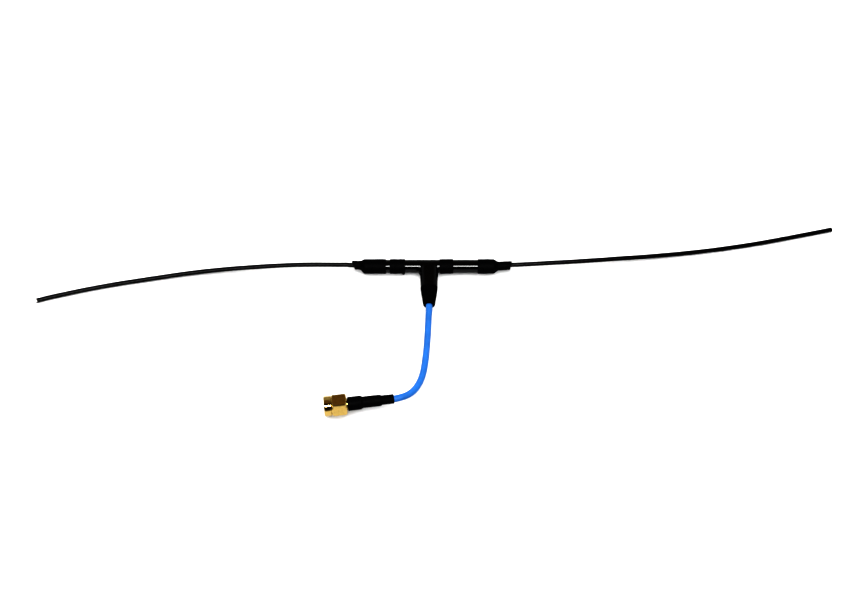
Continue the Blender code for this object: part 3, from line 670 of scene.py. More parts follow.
def strand_steel():
    """Drawn steel strands: fine lengthwise lines and grey-brown tarnish."""
    nodes = Nodes("strand_steel")
    lines = nodes.noise(nodes.place(stretch=(0.08, 1.0, 1.0)), 15000.0, 3.0)
    stain = nodes.noise(nodes.place(), 1900.0, 4.0)
    tint = nodes.colours(stain, ((0.3, (0.34, 0.32, 0.29)), (0.7, (0.66, 0.65, 0.62))))
    rough = nodes.spread(lines, 0.24, 0.42)
    normal = nodes.bump(lines, 0.3, 0.00001)
    return nodes.finish(tint, rough, normal, Metallic=1.0)


def soft_plastic(name, dark, light, roughness):
    """Plain matte plastic with a cloudy tint and a fine grain."""
    nodes = Nodes(name)
    place = nodes.place()
    cloud = nodes.noise(place, 900.0)
    grain = nodes.noise(place, 11000.0, 3.0)
    tint = nodes.colours(cloud, ((0.3, dark), (0.7, light)))
    rough = nodes.spread(grain, roughness - 0.07, roughness + 0.07)
    return nodes.finish(tint, rough, nodes.bump(grain, 0.2, 0.00001))


def bare_metal(name, dark, light, roughness):
    """Bare metal with drawn lines and light tarnish."""
    nodes = Nodes(name)
    lines = nodes.noise(nodes.place(stretch=(0.1, 1.0, 1.0)), 12000.0, 3.0)
    stain = nodes.noise(nodes.place(), 1400.0)
    tint = nodes.colours(stain, ((0.3, dark), (0.7, light)))
    rough = nodes.spread(lines, roughness - 0.08, roughness + 0.08)
    return nodes.finish(tint, rough, nodes.bump(lines, 0.25, 0.00001), Metallic=1.0)


def woven_braid():
    """Tinned braid: crossing diagonal strands in relief, with painted shade in the hollows between them."""
    nodes = Nodes("woven_braid")
    heights = []
    for turn in (math.radians(38.0), math.radians(-38.0)):
        wave = nodes.add("ShaderNodeTexWave", wave_type="BANDS", bands_direction="X")
        wave.inputs["Scale"].default_value = 1400.0
        nodes.link(nodes.place(turn), wave.inputs["Vector"])
        heights.append(wave.outputs["Fac"])
    weave = nodes.add("ShaderNodeMath", operation="MAXIMUM")
    nodes.link(heights[0], weave.inputs[0])
    nodes.link(heights[1], weave.inputs[1])
    # Painted shade: the tint is dark where the weave sinks between strands and pale on the strands' crowns
    tint = nodes.colours(weave.outputs[0], ((0.3, (0.22, 0.22, 0.22)), (0.8, (0.72, 0.72, 0.70))))
    rough = nodes.spread(weave.outputs[0], 0.55, 0.30)
    return nodes.finish(tint, rough, nodes.bump(weave.outputs[0], 0.6, 0.00006), Metallic=1.0)


def circuit_board():
    """Green solder mask over copper tracks."""
    nodes = Nodes("circuit_board")
    track = nodes.add("ShaderNodeTexBrick")
    track.inputs["Scale"].default_value = 620.0
    track.inputs["Mortar Size"].default_value = 0.08
    track.inputs["Color1"].default_value = (0.012, 0.110, 0.040, 1.0)
    track.inputs["Color2"].default_value = (0.016, 0.150, 0.052, 1.0)
    track.inputs["Mortar"].default_value = (0.008, 0.070, 0.026, 1.0)
    nodes.link(nodes.place(), track.inputs["Vector"])
    grain = nodes.noise(nodes.place(), 6000.0)
    rough = nodes.spread(grain, 0.28, 0.45)
    return nodes.finish(track.outputs["Color"], rough, nodes.bump(track.outputs["Fac"], 0.3, 0.00003))


def floor_paint(colour):
    """Pale floor with the faintest mottling."""
    nodes = Nodes("floor_paint")
    cloud = nodes.noise(nodes.place(), 6.0)
    tint = nodes.colours(cloud, ((0.2, shade(colour, 0.985)), (0.8, colour)))
    rough = nodes.spread(cloud, 0.86, 0.94)
    return nodes.finish(tint, rough, Specular_IOR_Level=0.1)


FINISHES = {}


def finish_for(name):
    """Each material once, made when a piece first asks for it."""
    if name not in FINISHES:
        settings = bpy.context.scene.antenna_finish
        makers = {
            "hub_plastic": lambda: hub_plastic(settings.hub),
            "shrink_tube": lambda: shrink_tube(settings.shrink),
            "stem_rubber": lambda: relief_rubber(settings.relief),
            "element_coating": lambda: wire_coating(settings.coating),
            "coax_blue": lambda: coax_jacket(settings.coax),
            "gold_plate": lambda: gold_plate(settings.gold),
            "wire_steel": strand_steel,
            "tinned_braid": woven_braid,
            "board_green": circuit_board,
            "white_insulator": lambda: soft_plastic(
                "white_insulator", (0.74, 0.73, 0.70), (0.86, 0.86, 0.84), 0.42
            ),
            "ferrite": lambda: soft_plastic("ferrite", (0.035, 0.035, 0.038), (0.075, 0.073, 0.072), 0.5),
            "gasket_rubber": lambda: soft_plastic(
                "gasket_rubber", (0.36, 0.030, 0.016), (0.50, 0.055, 0.030), 0.5
            ),
            "brass": lambda: bare_metal("brass", (0.46, 0.30, 0.10), (0.74, 0.54, 0.24), 0.34),
            "spring_steel": lambda: bare_metal("spring_steel", (0.42, 0.36, 0.24), (0.66, 0.58, 0.40), 0.28),
        }
        FINISHES[name] = makers[name]()
    return FINISHES[name]


# ---------------------------------------------------------------- stage


def make_camera(settings):
    data = bpy.data.cameras.new("studio_camera")
    data.lens = settings.lens
    data.sensor_width = 36.0
    data.clip_start = 0.01
    camera = add_object("studio_camera", data)
    back = Vector((0.0, -math.cos(settings.elevation), math.sin(settings.elevation)))
    camera.location = Vector(settings.aim) + back * settings.distance
    camera.rotation_euler = (math.pi / 2.0 - settings.elevation, 0.0, 0.0)
    bpy.context.scene.camera = camera


def make_key(power):
    """A long narrow soft box in front of the antenna, which draws the bright line on its glossy bar."""
    data = bpy.data.lights.new("key_light", "AREA")
    data.shape = "RECTANGLE"
    data.size, data.size_y = KEY_SIZE
    data.energy = power
    place = Vector((KEY_OFFSET, -KEY_REACH * math.cos(KEY_ELEVATION), KEY_REACH * math.sin(KEY_ELEVATION)))
    lamp = add_object("key_light", data)
    lamp.location = place
    lamp.rotation_euler = (HUB_CENTRE - place).to_track_quat("-Z", "Y").to_euler()
    lamp.visible_camera = False
    lamp.visible_diffuse = False


def make_fill(strength):
    """Even light from overhead that leaves no reflection and only a thin shadow under each piece."""
    data = bpy.data.lights.new("fill_light", "SUN")
    data.energy = strength
    data.angle = FILL_ANGLE
    lamp = add_object("fill_light", data)
    lamp.location = (0.0, 0.0, 1.0)
    lamp.visible_glossy = False


def make_surroundings():
    """What the glossy pieces mirror: a low bright rim in front, dark overhead, a tall pale wall behind."""
    world = bpy.data.worlds.new("studio_world")
    world.use_nodes = True
    tree = world.node_tree
    background = tree.nodes["Background"]
    coordinates = tree.nodes.new("ShaderNodeTexCoord")
    split = tree.nodes.new("ShaderNodeSeparateXYZ")
    tree.links.new(coordinates.outputs["Generated"], split.inputs[0])
    behind = tree.nodes.new("ShaderNodeMapRange")
    behind.inputs["From Min"].default_value = -0.1
    behind.inputs["From Max"].default_value = 0.1
    tree.links.new(split.outputs["Y"], behind.inputs["Value"])
    mix = tree.nodes.new("ShaderNodeMix")
    mix.data_type = "RGBA"
    tree.links.new(behind.outputs["Result"], mix.inputs["Factor"])
    for socket, bright, fade_start, fade_end, dark in SURROUNDINGS:
        ramp = tree.nodes.new("ShaderNodeValToRGB")
        low, high = ramp.color_ramp.elements
        low.position = fade_start
        low.color = (bright, bright, bright, 1.0)
        high.position = fade_end
        high.color = (*dark, 1.0)
        tree.links.new(split.outputs["Z"], ramp.inputs["Fac"])
        tree.links.new(ramp.outputs["Color"], mix.inputs[socket])
    tree.links.new(mix.outputs[MIX_RESULT], background.inputs["Color"])
    background.inputs["Strength"].default_value = 1.0
    bpy.context.scene.world = world


class ANTENNA_OT_stage(bpy.types.Operator):
    """Make the camera, the floor and the studio's lights"""

    bl_idname = "antenna.stage"
    bl_label = "Studio"

    def execute(self, context):
        settings = context.scene.antenna_studio
        make_camera(settings)
        make_surroundings()
        context.scene.view_settings.view_transform = "Standard"
        context.scene.view_settings.look = "High Contrast"
        signs = ((-1, -1), (1, -1), (1, 1), (-1, 1))
        mesh = bpy.data.meshes.new("floor")
        mesh.from_pydata([(FLOOR_HALF * x, FLOOR_HALF * y, 0.0) for x, y in signs], [], [(0, 1, 2, 3)])
        floor = add_object("floor", mesh)
        floor.data.materials.append(floor_paint(context.scene.antenna_finish.floor))
        make_key(settings.key_power)
        make_fill(settings.fill_power)
        return {"FINISHED"}


# ---------------------------------------------------------------- coax


def coax_route():
    exit_point = Vector((0.0, node_low("coax_lead").y, AXIS_HEIGHT))
    tail = PLUG_REAR + PLUG_AXIS * (along_plug_of("crimp_ferrule")[0] - 0.30 * MM)
    sleeve = PLUG_REAR + PLUG_AXIS * along_plug_of("inner_sleeve")[0]
    route = [exit_point] + [Vector(point) for point in COAX_ROUTE]
    return route + [sleeve, (sleeve + tail) / 2.0, tail]


def along_plug_of(node):
    """Where a node of the plug starts and ends along the plug."""
    stations = [along_plug(vertex.co) for vertex in frame["nodes"][node].data.vertices]
    return min(stations), max(stations)


class ANTENNA_OT_coax(bpy.types.Operator):
    """Lay the blue coax from the stem to the plug"""

    bl_idname = "antenna.coax"
    bl_label = "Coax pigtail"

    def execute(self, context):
        settings = context.scene.antenna_coax
        points, distances = even_curve(coax_route(), settings.point_step)
        _, sides, ups = path_frames(points)
        angles = around(COAX_POINTS)
        wear_depth = 0.006 * MM
        mean_radius = settings.radius - 0.008 * MM
        wear = ripples(5, distances, angles, 9.0 * MM, 4) * wear_depth
        jacket = skin("coax_cable", rings(points, sides, ups, mean_radius + wear, angles))
        dress(jacket, "hub", "coax_blue", "coax_jacket")
        context.scene["coax_length"] = float(distances[-1])
        context.scene["coax_path"] = [float(value) for value in points[::2].ravel()]
        return {"FINISHED"}


def declare_coax():
    """Lists the pieces on the coax, once they are made; nothing is done with the list."""
    on_it = ["plug_inner_sleeve", "plug_outer_sleeve", "plug_body", "plug_nut", "plug_retainer"]
    on_it += ["plug_bead", "plug_pin", "plug_gasket", "plug_ferrule"]


# ---------------------------------------------------------------- elements


def lead_point(side, distance):
    """A point of the wire inside the hub and its boot, which leaves the bar's axis by a small slope."""
    offset = LEAD_SLOPE * max(0.0, distance - LEAD_SLOPE_START)
    return Vector((SIDES[side] * distance, offset, AXIS_HEIGHT))


def element_route(side, start):
    pivot = PIVOTS[side]
    straight_lead = 3.6 * MM
    ahead = lead_point(side, abs(pivot.x) + straight_lead)
    route = [lead_point(side, start), lead_point(side, LEAD_SLOPE_START), pivot, ahead]
    for along, across, above in ELEMENT_ROUTE[side]:
        route.append(Vector((pivot.x + SIDES[side] * along, across, above + WIRE_REST_HEIGHT)))
    return route


def cut_slanting(row, tangent, up, slant):
    """A row of points round the wire's end, moved along the wire so that the cut slants."""
    lift = (row - row.mean(axis=0)) @ up
    return row - tangent[None, :] * lift[:, None] * slant


def make_coating(side, settings):
    """The coating, drawn over six twisted strands so that their ridges show, with a slanting cut end."""
    start = min(abs(corner.x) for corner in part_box(side + "_element_root"))
    points, distances = even_curve(element_route(side, start), settings.row_step)
    tangents, sides, ups = path_frames(points)
    points_per_strand = 6
    inside_every = 9
    angles = around(settings.strands * points_per_strand)
    twist = TURN * distances / settings.lay
    lobe = settings.strands * (angles[None, :] - twist[:, None])
    valley = (0.5 - 0.5 * np.cos(lobe)) ** 1.6
    uneven = ripples(WIRE_SEED[side], distances, angles, 14.0 * MM, 3) * 0.008 * MM
    outer = settings.radius - settings.groove * valley + uneven
    outside = rings(points, sides, ups, outer, angles)
    keep = np.arange(len(points))[::-inside_every]
    if keep[-1] != 0:
        keep = np.append(keep, 0)
    inside = rings(points[keep], sides[keep], ups[keep], settings.bore, angles)
    up = np.array(ups[-1]) * 0.8 - np.array(Y_AXIS) * 0.6
    outside[-1] = cut_slanting(outside[-1], tangents[-1], up, CUT_SLANT[side])
    inside[0] = cut_slanting(inside[0], tangents[-1], up, CUT_SLANT[side])
    return tube(side + "_coated_wire", outside, inside)


def make_strands(side, settings):
    """Seven steel strands laid up as a rope, cut a little proud of the coating."""
    strand_start = 5.9 * MM
    strand_step = 0.62 * MM
    points, distances = even_curve(element_route(side, strand_start), strand_step)
    tangents, sides, ups = path_frames(points)
    points[-1] = points[-1] + tangents[-1] * settings.stub
    angles = around(8)
    helix = 2.04 * settings.strand_radius
    made = []
    for index in range(settings.strands + 1):
        reach = 0.0 if index == settings.strands else helix
        turn = TURN * (index / settings.strands + distances / settings.lay)
        centres = points + reach * (sides * np.cos(turn)[:, None] + ups * np.sin(turn)[:, None])
        rows = rings(centres, sides, ups, np.full(len(points), settings.strand_radius), angles)
        made.append(skin(f"{side}_strand_{index}", rows))
    return join_meshes(side + "_wire_strands", made)


class ANTENNA_OT_elements(bpy.types.Operator):
    """Make both springy elements: twisted strands and the coating over them"""

    bl_idname = "antenna.elements"
    bl_label = "Elements"

    def execute(self, context):
        settings = context.scene.antenna_element
        for side, sign in SIDES.items():
            coating = make_coating(side, settings)
            strands = make_strands(side, settings)
            covered = (side + "_element_jacket", side + "_element_root")
            dress(coating, None, "element_coating", *covered)
            dress(strands, None, "wire_steel", side + "_element_core")
            for piece in (coating, strands):
                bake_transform(piece)
        return {"FINISHED"}


# ---------------------------------------------------------------- heat shrink


def sleeve_rows(origin, axis, side, outside, inside, angles, ripple, seed):
    """Outer and inner rows of a thin tube, from (station, radius) pairs."""
    stations, radii = (np.array(values) for values in split(outside))
    waved = radii[:, None] + ripple(stations, angles, seed)
    outer = straight_rings(origin, axis, side, stations, waved, angles)
    return outer, straight_rings(origin, axis, side, *split(inside), angles)


def lip(start, end, radius, inner, steps=4):
    """Outside profile of a plain shrunk tube: both ends roll over to the inside."""
    edge = (radius - inner) * ROLLED_SHARE
    left = []
    for i in range(steps + 1):
        angle = math.pi / 2.0 * i / steps
        left.append((start + edge * (1.0 - math.cos(angle)), radius - edge * (1.0 - math.sin(angle))))
    body = [(station, radius) for station in np.linspace(start + edge, end - edge, 26)[1:-1]]
    right = [(end - (station - start), size) for station, size in reversed(left)]
    return left + body + right


def rolled_ends(stations, start, end, edge, end_share=1.0):
    """How far a tube's outside draws in where its two ends roll over."""
    roll = np.clip((start + edge - stations) / edge, 0.0, 1.0)
    end_roll = np.clip((stations - (end - edge)) / edge, 0.0, 1.0)
    return edge * (1.0 - np.sqrt(1.0 - roll**2)) + end_share * edge * (1.0 - np.sqrt(1.0 - end_roll**2))


def plain_ripple(settings, wave_length):
    def waves(stations, angles, seed):
        return ripples(seed, stations, angles, wave_length, 5) * settings.ripple * 0.5

    return waves


class ANTENNA_OT_bands(bpy.types.Operator):
    """Make the two heat-shrink bands that hold the shells together"""

    bl_idname = "antenna.bands"
    bl_label = "Bands"

    def execute(self, context):
        settings = context.scene.antenna_shrink
        angles = around(TUBE_POINTS)
        for node, seed in BAND_SEED.items():
            low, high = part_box(node)
            bore = BAND_RADIUS - settings.wall
            profile = lip(low.x, high.x, BAND_RADIUS, bore)
            inside = [(high.x, bore), (low.x, bore)]
            ripple = plain_ripple(settings, 3.2 * MM)
            outer, inner = sleeve_rows(HUB_CENTRE, X_AXIS, Y_AXIS, profile, inside, angles, ripple, seed)
            if node == "left_band":
                outer = self.turn_up_corner(outer, high.x, angles)
            made = tube("heat_shrink_" + node, outer, inner)
            dress(made, "hub", "shrink_tube", node)
        return {"FINISHED"}

    def turn_up_corner(self, rows, end, angles):
        """The small tab that the band's cut edge leaves at its lower front."""
        tab_height = 0.50 * MM
        tab_length = 0.45 * MM
        tab_inset = 0.8 * MM
        tab_facing = math.radians(214.0)
        tab_spread = math.radians(13.0)
        near_end = np.exp(-(((rows[:, :, 0] - end + tab_inset) / tab_length) ** 2))
        below = np.exp(-((np.angle(np.exp(1j * (angles - tab_facing))) / tab_spread) ** 2))
        away = rows - np.array(HUB_CENTRE)
        away[:, :, 0] = 0.0
        length = np.linalg.norm(away, axis=2, keepdims=True)
        return rows + away / length * (near_end * below[None, :])[:, :, None] * tab_height


def make_end_boot(side, settings):
    """A boot: wide on the bar, puckered where it narrows, and cut on a slant round the wire."""
    sign = SIDES[side]
    near, far = sorted(abs(corner.x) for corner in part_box(side + "_end_boot"))
    far += settings.overhang
    shoulder = BAR_HALF_LENGTH + settings.shoulder
    taper = settings.taper
    neck_start = shoulder + taper
    wire = bpy.context.scene.antenna_element.radius + settings.wire_gap
    neck = wire + settings.neck_wall
    angles = around(TUBE_POINTS)
    stations = np.concatenate((np.linspace(near, neck_start, 48), np.linspace(neck_start, far, 30)[1:]))
    radii = BAND_RADIUS + (neck - BAND_RADIUS) * smooth_step((stations - shoulder) / taper)
    radii = radii - rolled_ends(stations, near, far, settings.wall * ROLLED_SHARE, 0.6)
    seed = BOOT_SEED[side]
    waves = ripples(seed, stations, angles, 3.4 * MM, 6) * settings.ripple * 0.55
    fold_zone = np.exp(-(((stations - shoulder - 0.6 * taper) / (0.5 * taper)) ** 2))
    folds = ripples(seed + 3, stations, angles, 9.0 * MM, 11) * settings.pucker * fold_zone[:, None] * 0.5
    bore_wide = BAND_RADIUS - settings.wall
    inner_stations = np.array([far, BAR_HALF_LENGTH + 0.75 * MM, BAR_HALF_LENGTH + 0.05 * MM, near])
    inner_radii = np.array([wire, wire, bore_wide, bore_wide])

    def wrap(values, widths, shift):
        """Rows round the bar and the wire, cut on a slant at the far end."""
        count = len(values)
        share = smooth_step((values - shoulder) / taper)
        lead = LEAD_SLOPE * np.maximum(0.0, values - LEAD_SLOPE_START)
        centres = np.column_stack((sign * values, (lead + shift) * share, np.full(count, AXIS_HEIGHT)))
        made = rings(centres, copies(Y_AXIS, count), copies(Z_AXIS, count), widths, angles)
        reach = smooth_step((values - neck_start) / (far - neck_start))
        far_side = 0.82 * np.cos(angles) + 0.57 * np.sin(angles)
        made[:, :, 0] -= sign * BOOT_CUT[side] * reach[:, None] * (1.0 - far_side)[None, :] / 2.0
        return made

    outer = wrap(stations, radii[:, None] + waves + folds, NECK_SHIFT[side])
    inner = wrap(inner_stations, np.tile(inner_radii[:, None], (1, len(angles))), 0.0)
    return tube(side + "_shrink_boot", outer, inner)


class ANTENNA_OT_end_boots(bpy.types.Operator):
    """Make the heat-shrink boots that lead the wires out of the bar"""

    bl_idname = "antenna.end_boots"
    bl_label = "End boots"

    def execute(self, context):
        for side in SIDES:
            made = make_end_boot(side, context.scene.antenna_shrink)
            dress(made, "hub", "shrink_tube", side + "_end_boot")
        return {"FINISHED"}


# ---------------------------------------------------------------- housing


def box_distance(points, middle, half, corner):
    """Distance to a rounded box whose long edges run along Y."""
    q = np.abs(points - middle) - half
    flat = q[:, [0, 2]] + corner
    around_y = np.linalg.norm(np.maximum(flat, 0.0), axis=1) + np.minimum(flat.max(axis=1), 0.0) - corner
    return np.maximum(around_y, q[:, 1])


def rod_distance(points, radius, half_length):
    """Distance to a rod along X through the hub's middle."""
    across = np.hypot(points[:, 1], points[:, 2] - AXIS_HEIGHT) - radius
    return np.maximum(across, np.abs(points[:, 0]) - half_length)


def soft_least(first, second, radius):
    """The smaller of two distances, rounded where they meet."""
    blend = np.maximum(radius - np.abs(first - second), 0.0) / radius
    return np.minimum(first, second) - blend * blend * radius * 0.25


def soft_most(first, second, radius):
    return -soft_least(-first, -second, radius)


def housing_distance(points, sign, settings):
    """Distance to one shell: the tee's outside, less its hollow, on one side of the parting plane."""
    reach = STEM_END / 2.0
    stem_middle = np.array((0.0, -reach, AXIS_HEIGHT))
    half = np.array((settings.stem_half_width, reach, STEM_HALF_HEIGHT))
    flare = np.zeros_like(points)
    flare[:, 0] = settings.stem_taper * np.clip(1.0 + points[:, 1] / STEM_END, 0.0, 1.0)
    stem = box_distance(points, stem_middle, half + flare, settings.stem_corner)
    bar = rod_distance(points, BAR_RADIUS, BAR_HALF_LENGTH)
    level = np.abs(points[:, 2] - AXIS_HEIGHT) / BAR_RADIUS
    to_right = smooth_step(0.5 + points[:, 0] / (2.0 * settings.stem_half_width))
    fillet = settings.left_fillet + (settings.right_fillet - settings.left_fillet) * to_right
    fillet = fillet * (1.0 - 0.94 * smooth_step(1.25 * level))
    outside = soft_least(bar, stem, fillet * FILLET_BLEND)
    outside = np.maximum(outside, np.abs(points[:, 2] - AXIS_HEIGHT) - STEM_HALF_HEIGHT)
    end_wall = 1.5 * MM
    hole_radius = 1.47 * MM
    hollow_bar = rod_distance(points, BAR_RADIUS - settings.wall, BAR_HALF_LENGTH - end_wall)
    hole = rod_distance(points, hole_radius, BAR_HALF_LENGTH * 1.1)
    inner = half - np.array((settings.stem_wall, 0.0, settings.stem_wall))
    inner[1] = (STEM_END - 2.9 * MM) / 2.0
    room_middle = np.array((0.0, -inner[1], AXIS_HEIGHT))
    room = box_distance(points, room_middle, inner, settings.stem_corner - settings.stem_wall)
    throat_radius = STEM_HALF_HEIGHT - settings.stem_wall + 0.05 * MM
    throat = np.maximum(np.hypot(points[:, 0], points[:, 2] - AXIS_HEIGHT) - throat_radius, points[:, 1])
    hollow = np.minimum(np.minimum(hollow_bar, hole), np.minimum(room, throat))
    plane = settings.parting / 2.0 - sign * (points[:, 2] - AXIS_HEIGHT)
    shell = soft_most(outside, plane, settings.edge * 2.0)
    return np.maximum(shell, -hollow)


def make_shell(name, node, sign, settings):
    """One shell: its solid is remeshed finely, and every point is then drawn onto the exact surface."""
    mesh = frame["nodes"][node].data.copy()
    made = add_object(name, mesh)
    remesh = made.modifiers.new("remesh", "REMESH")
    remesh.mode = "VOXEL"
    remesh.voxel_size = settings.voxel
    bpy.context.view_layer.update()
    graph = bpy.context.evaluated_depsgraph_get()
    fine = bpy.data.meshes.new_from_object(made.evaluated_get(graph))
    bpy.data.objects.remove(made, do_unlink=True)
    count = len(fine.vertices)
    flat = np.empty(count * 3)
    fine.vertices.foreach_get("co", flat)
    points = flat.reshape(-1, 3)
    step = 0.01 * MM
    for _ in range(6):
        here = housing_distance(points, sign, settings)
        slope = np.empty_like(points)
        for axis in range(3):
            ahead = points.copy()
            ahead[:, axis] += step
            behind = points.copy()
            behind[:, axis] -= step
            rise = housing_distance(ahead, sign, settings) - housing_distance(behind, sign, settings)
            slope[:, axis] = rise / (2.0 * step)
        size = np.maximum((slope**2).sum(axis=1), 0.2)
        move = -(here / size)[:, None] * slope
        points = points + np.clip(move, -0.1 * MM, 0.1 * MM)
    fine.vertices.foreach_set("co", points.ravel())
    fine.materials.clear()
    return add_smooth(name, fine, SHELL_SHARP_CORNER)


class ANTENNA_OT_housing(bpy.types.Operator):
    """Make the two glossy shells of the tee"""

    bl_idname = "antenna.housing"
    bl_label = "Tee shells"

    def execute(self, context):
        settings = context.scene.antenna_housing
        for name, node, sign in (
            ("upper_housing", "tee_upper_shell", 1.0),
            ("lower_housing", "tee_lower_shell", -1.0),
        ):
            made = make_shell(name, node, sign, settings)
            dress(made, "hub", "hub_plastic", node)
        return {"FINISHED"}


def rounded_outline(half_width, half_height, corner, angles):
    """Radius of a rounded rectangle at each angle, by marching out from its middle."""
    low = np.zeros(len(angles))
    high = np.full(len(angles), 2.0 * (half_width + half_height))
    direction = np.column_stack((np.cos(angles), np.sin(angles)))
    size = np.array((half_width, half_height))
    for _ in range(40):
        middle = (low + high) / 2.0
        q = np.abs(direction * middle[:, None]) - size + corner
        distance = np.linalg.norm(np.maximum(q, 0.0), axis=1) + np.minimum(q.max(axis=1), 0.0) - corner
        low = np.where(distance < 0.0, middle, low)
        high = np.where(distance < 0.0, high, middle)
    return low


class ANTENNA_OT_stem_relief(bpy.types.Operator):
    """Make the tapered strain relief at the foot of the stem"""

    bl_idname = "antenna.stem_relief"
    bl_label = "Strain relief"

    def execute(self, context):
        housing = context.scene.antenna_housing
        coax = context.scene.antenna_coax
        angles = around(80)
        base = STEM_END + 0.2 * housing.parting
        mouth = 2.32 * MM
        coax_gap = 0.09 * MM
        taper_share = 0.93
        most_swell = 0.02 * MM
        uneven_depth = 0.012 * MM
        spigot = -node_high("stem_boot").y
        bore = coax.radius + coax_gap
        spigot_radius = STEM_HALF_HEIGHT - housing.stem_wall
        stations = [spigot, spigot, base]
        radii = [np.full(len(angles), value) for value in (bore, spigot_radius, spigot_radius)]
        corner = housing.stem_corner
        for share in np.linspace(0.0, taper_share, 24):
            width = housing.stem_half_width + (mouth - housing.stem_half_width) * share
            height = STEM_HALF_HEIGHT + (mouth - STEM_HALF_HEIGHT) * share
            turn = corner + (0.995 * mouth - corner) * share
            swell = most_swell * math.sin(math.pi * share)
            outline = rounded_outline(width + swell, height + 0.6 * swell, turn, angles)
            stations.append(base + (RELIEF_MOUTH - base) * share)
            radii.append(outline)
        edge = 0.36 * MM
        for i in range(1, 8):
            angle = math.pi / 2.0 * i / 7
            stations.append(RELIEF_MOUTH - edge * (1.0 - math.sin(angle)))
            radii.append(np.full(len(angles), mouth - edge * (1.0 - math.cos(angle))))
        stations.append(RELIEF_MOUTH - 0.1 * MM)
        radii.append(np.full(len(angles), bore))
        radii = np.array(radii)
        uneven = ripples(61, stations, angles, 7.0 * MM, 4) * uneven_depth
        uneven[:3] = 0.0
        uneven[-1] = 0.0
        rows = straight_rings(HUB_CENTRE, -Y_AXIS, X_AXIS, stations, radii + uneven, angles)
        made = skin("strain_relief", rows, closed=True)
        dress(made, "hub", "stem_rubber", "stem_boot")
        return {"FINISHED"}


# ---------------------------------------------------------------- plug


def plug_piece(name, stations, radii, slot, body, *nodes, closed=True, count=64):
    """A turned piece of the plug: stations are distances from the nut's rear along the plug."""
    made = skin(name, plug_rings(stations, radii, around(count)), closed=closed)
    return dress(made, body, slot, *nodes)


def soften(profile, radius):
    """Breaks a turned profile's outside corners by a small radius."""
    softened = []
    count = len(profile)
    for i, (station, size) in enumerate(profile):
        before = profile[i - 1]
        after = profile[(i + 1) % count]
        reach_in = math.hypot(station - before[0], size - before[1])
        reach_out = math.hypot(after[0] - station, after[1] - size)
        cut = min(radius, 0.4 * reach_in, 0.4 * reach_out)
        for other, reach in ((before, reach_in), (after, reach_out)):
            share = cut / reach
            softened.append((station + (other[0] - station) * share, size + (other[1] - size) * share))
    return softened


class ANTENNA_OT_sleeves(bpy.types.Operator):
    """Make the two heat-shrink sleeves behind the plug"""

    bl_idname = "antenna.sleeves"
    bl_label = "Plug sleeves"

    def execute(self, context):
        settings = context.scene.antenna_shrink
        coax = context.scene.antenna_coax
        angles = around(TUBE_POINTS)
        start, end = along_plug_of("inner_sleeve")
        coax_gap = 0.10 * MM
        wall = 0.40 * MM
        bore = coax.radius + coax_gap
        outer = bore + wall
        profile = lip(start, end, outer, bore)
        ripple = plain_ripple(settings, 2.6 * MM)
        inside = [(end, bore), (start, bore)]
        rows = sleeve_rows(PLUG_REAR, PLUG_AXIS, PLUG_SIDE, profile, inside, angles, ripple, 71)
        made = tube("plug_inner_sleeve", *rows)
        dress(made, "hub", "shrink_tube", "inner_sleeve")
        self.outer_sleeve(settings, outer, angles)
        return {"FINISHED"}

    def outer_sleeve(self, settings, inner_outside, angles):
        start, end = along_plug_of("outer_sleeve")
        ferrule_start = along_plug_of("crimp_ferrule")[0]
        bore = inner_outside + 0.05 * MM
        wall = 0.33 * MM
        wide_bore = 2.31 * MM
        stations = np.linspace(start, end, 66)
        rise_start = ferrule_start - 1.25 * MM
        rise_length = 1.1 * MM
        rise = smooth_step((stations - rise_start) / rise_length)
        radii = bore + wall + (wide_bore - bore) * rise
        radii = radii - rolled_ends(stations, start, end, wall * ROLLED_SHARE)
        waves = ripples(73, stations, angles, 2.9 * MM, 6) * settings.ripple * 0.7
        shoulder = np.exp(-(((stations - ferrule_start + 0.7 * MM) / (0.9 * MM)) ** 2))
        folds = ripples(79, stations, angles, 8.0 * MM, 9) * settings.pucker * shoulder[:, None] * 0.5
        outside = plug_rings(stations, radii[:, None] + waves + folds, angles)
        hollow = [(end, wide_bore), (ferrule_start - 0.25 * MM, wide_bore), (ferrule_start - 0.35 * MM, bore)]
        hollow += [(start, bore)]
        inside = plug_rings(*split(hollow), angles)
        made = tube("plug_outer_sleeve", outside, inside)
        dress(made, "hub", "shrink_tube", "outer_sleeve")


def hexagon(angles, across_flats):
    """Radius of a hexagon with slightly broken corners, flat side up."""
    power = 90.0  # the higher, the sharper the corners
    total = np.zeros(len(angles))
    for i in range(6):
        facing = np.cos(angles - math.pi / 2.0 - i * TURN / 6.0)
        total += np.maximum(facing, 0.0) ** power
    return across_flats / 2.0 / total ** (1.0 / power)


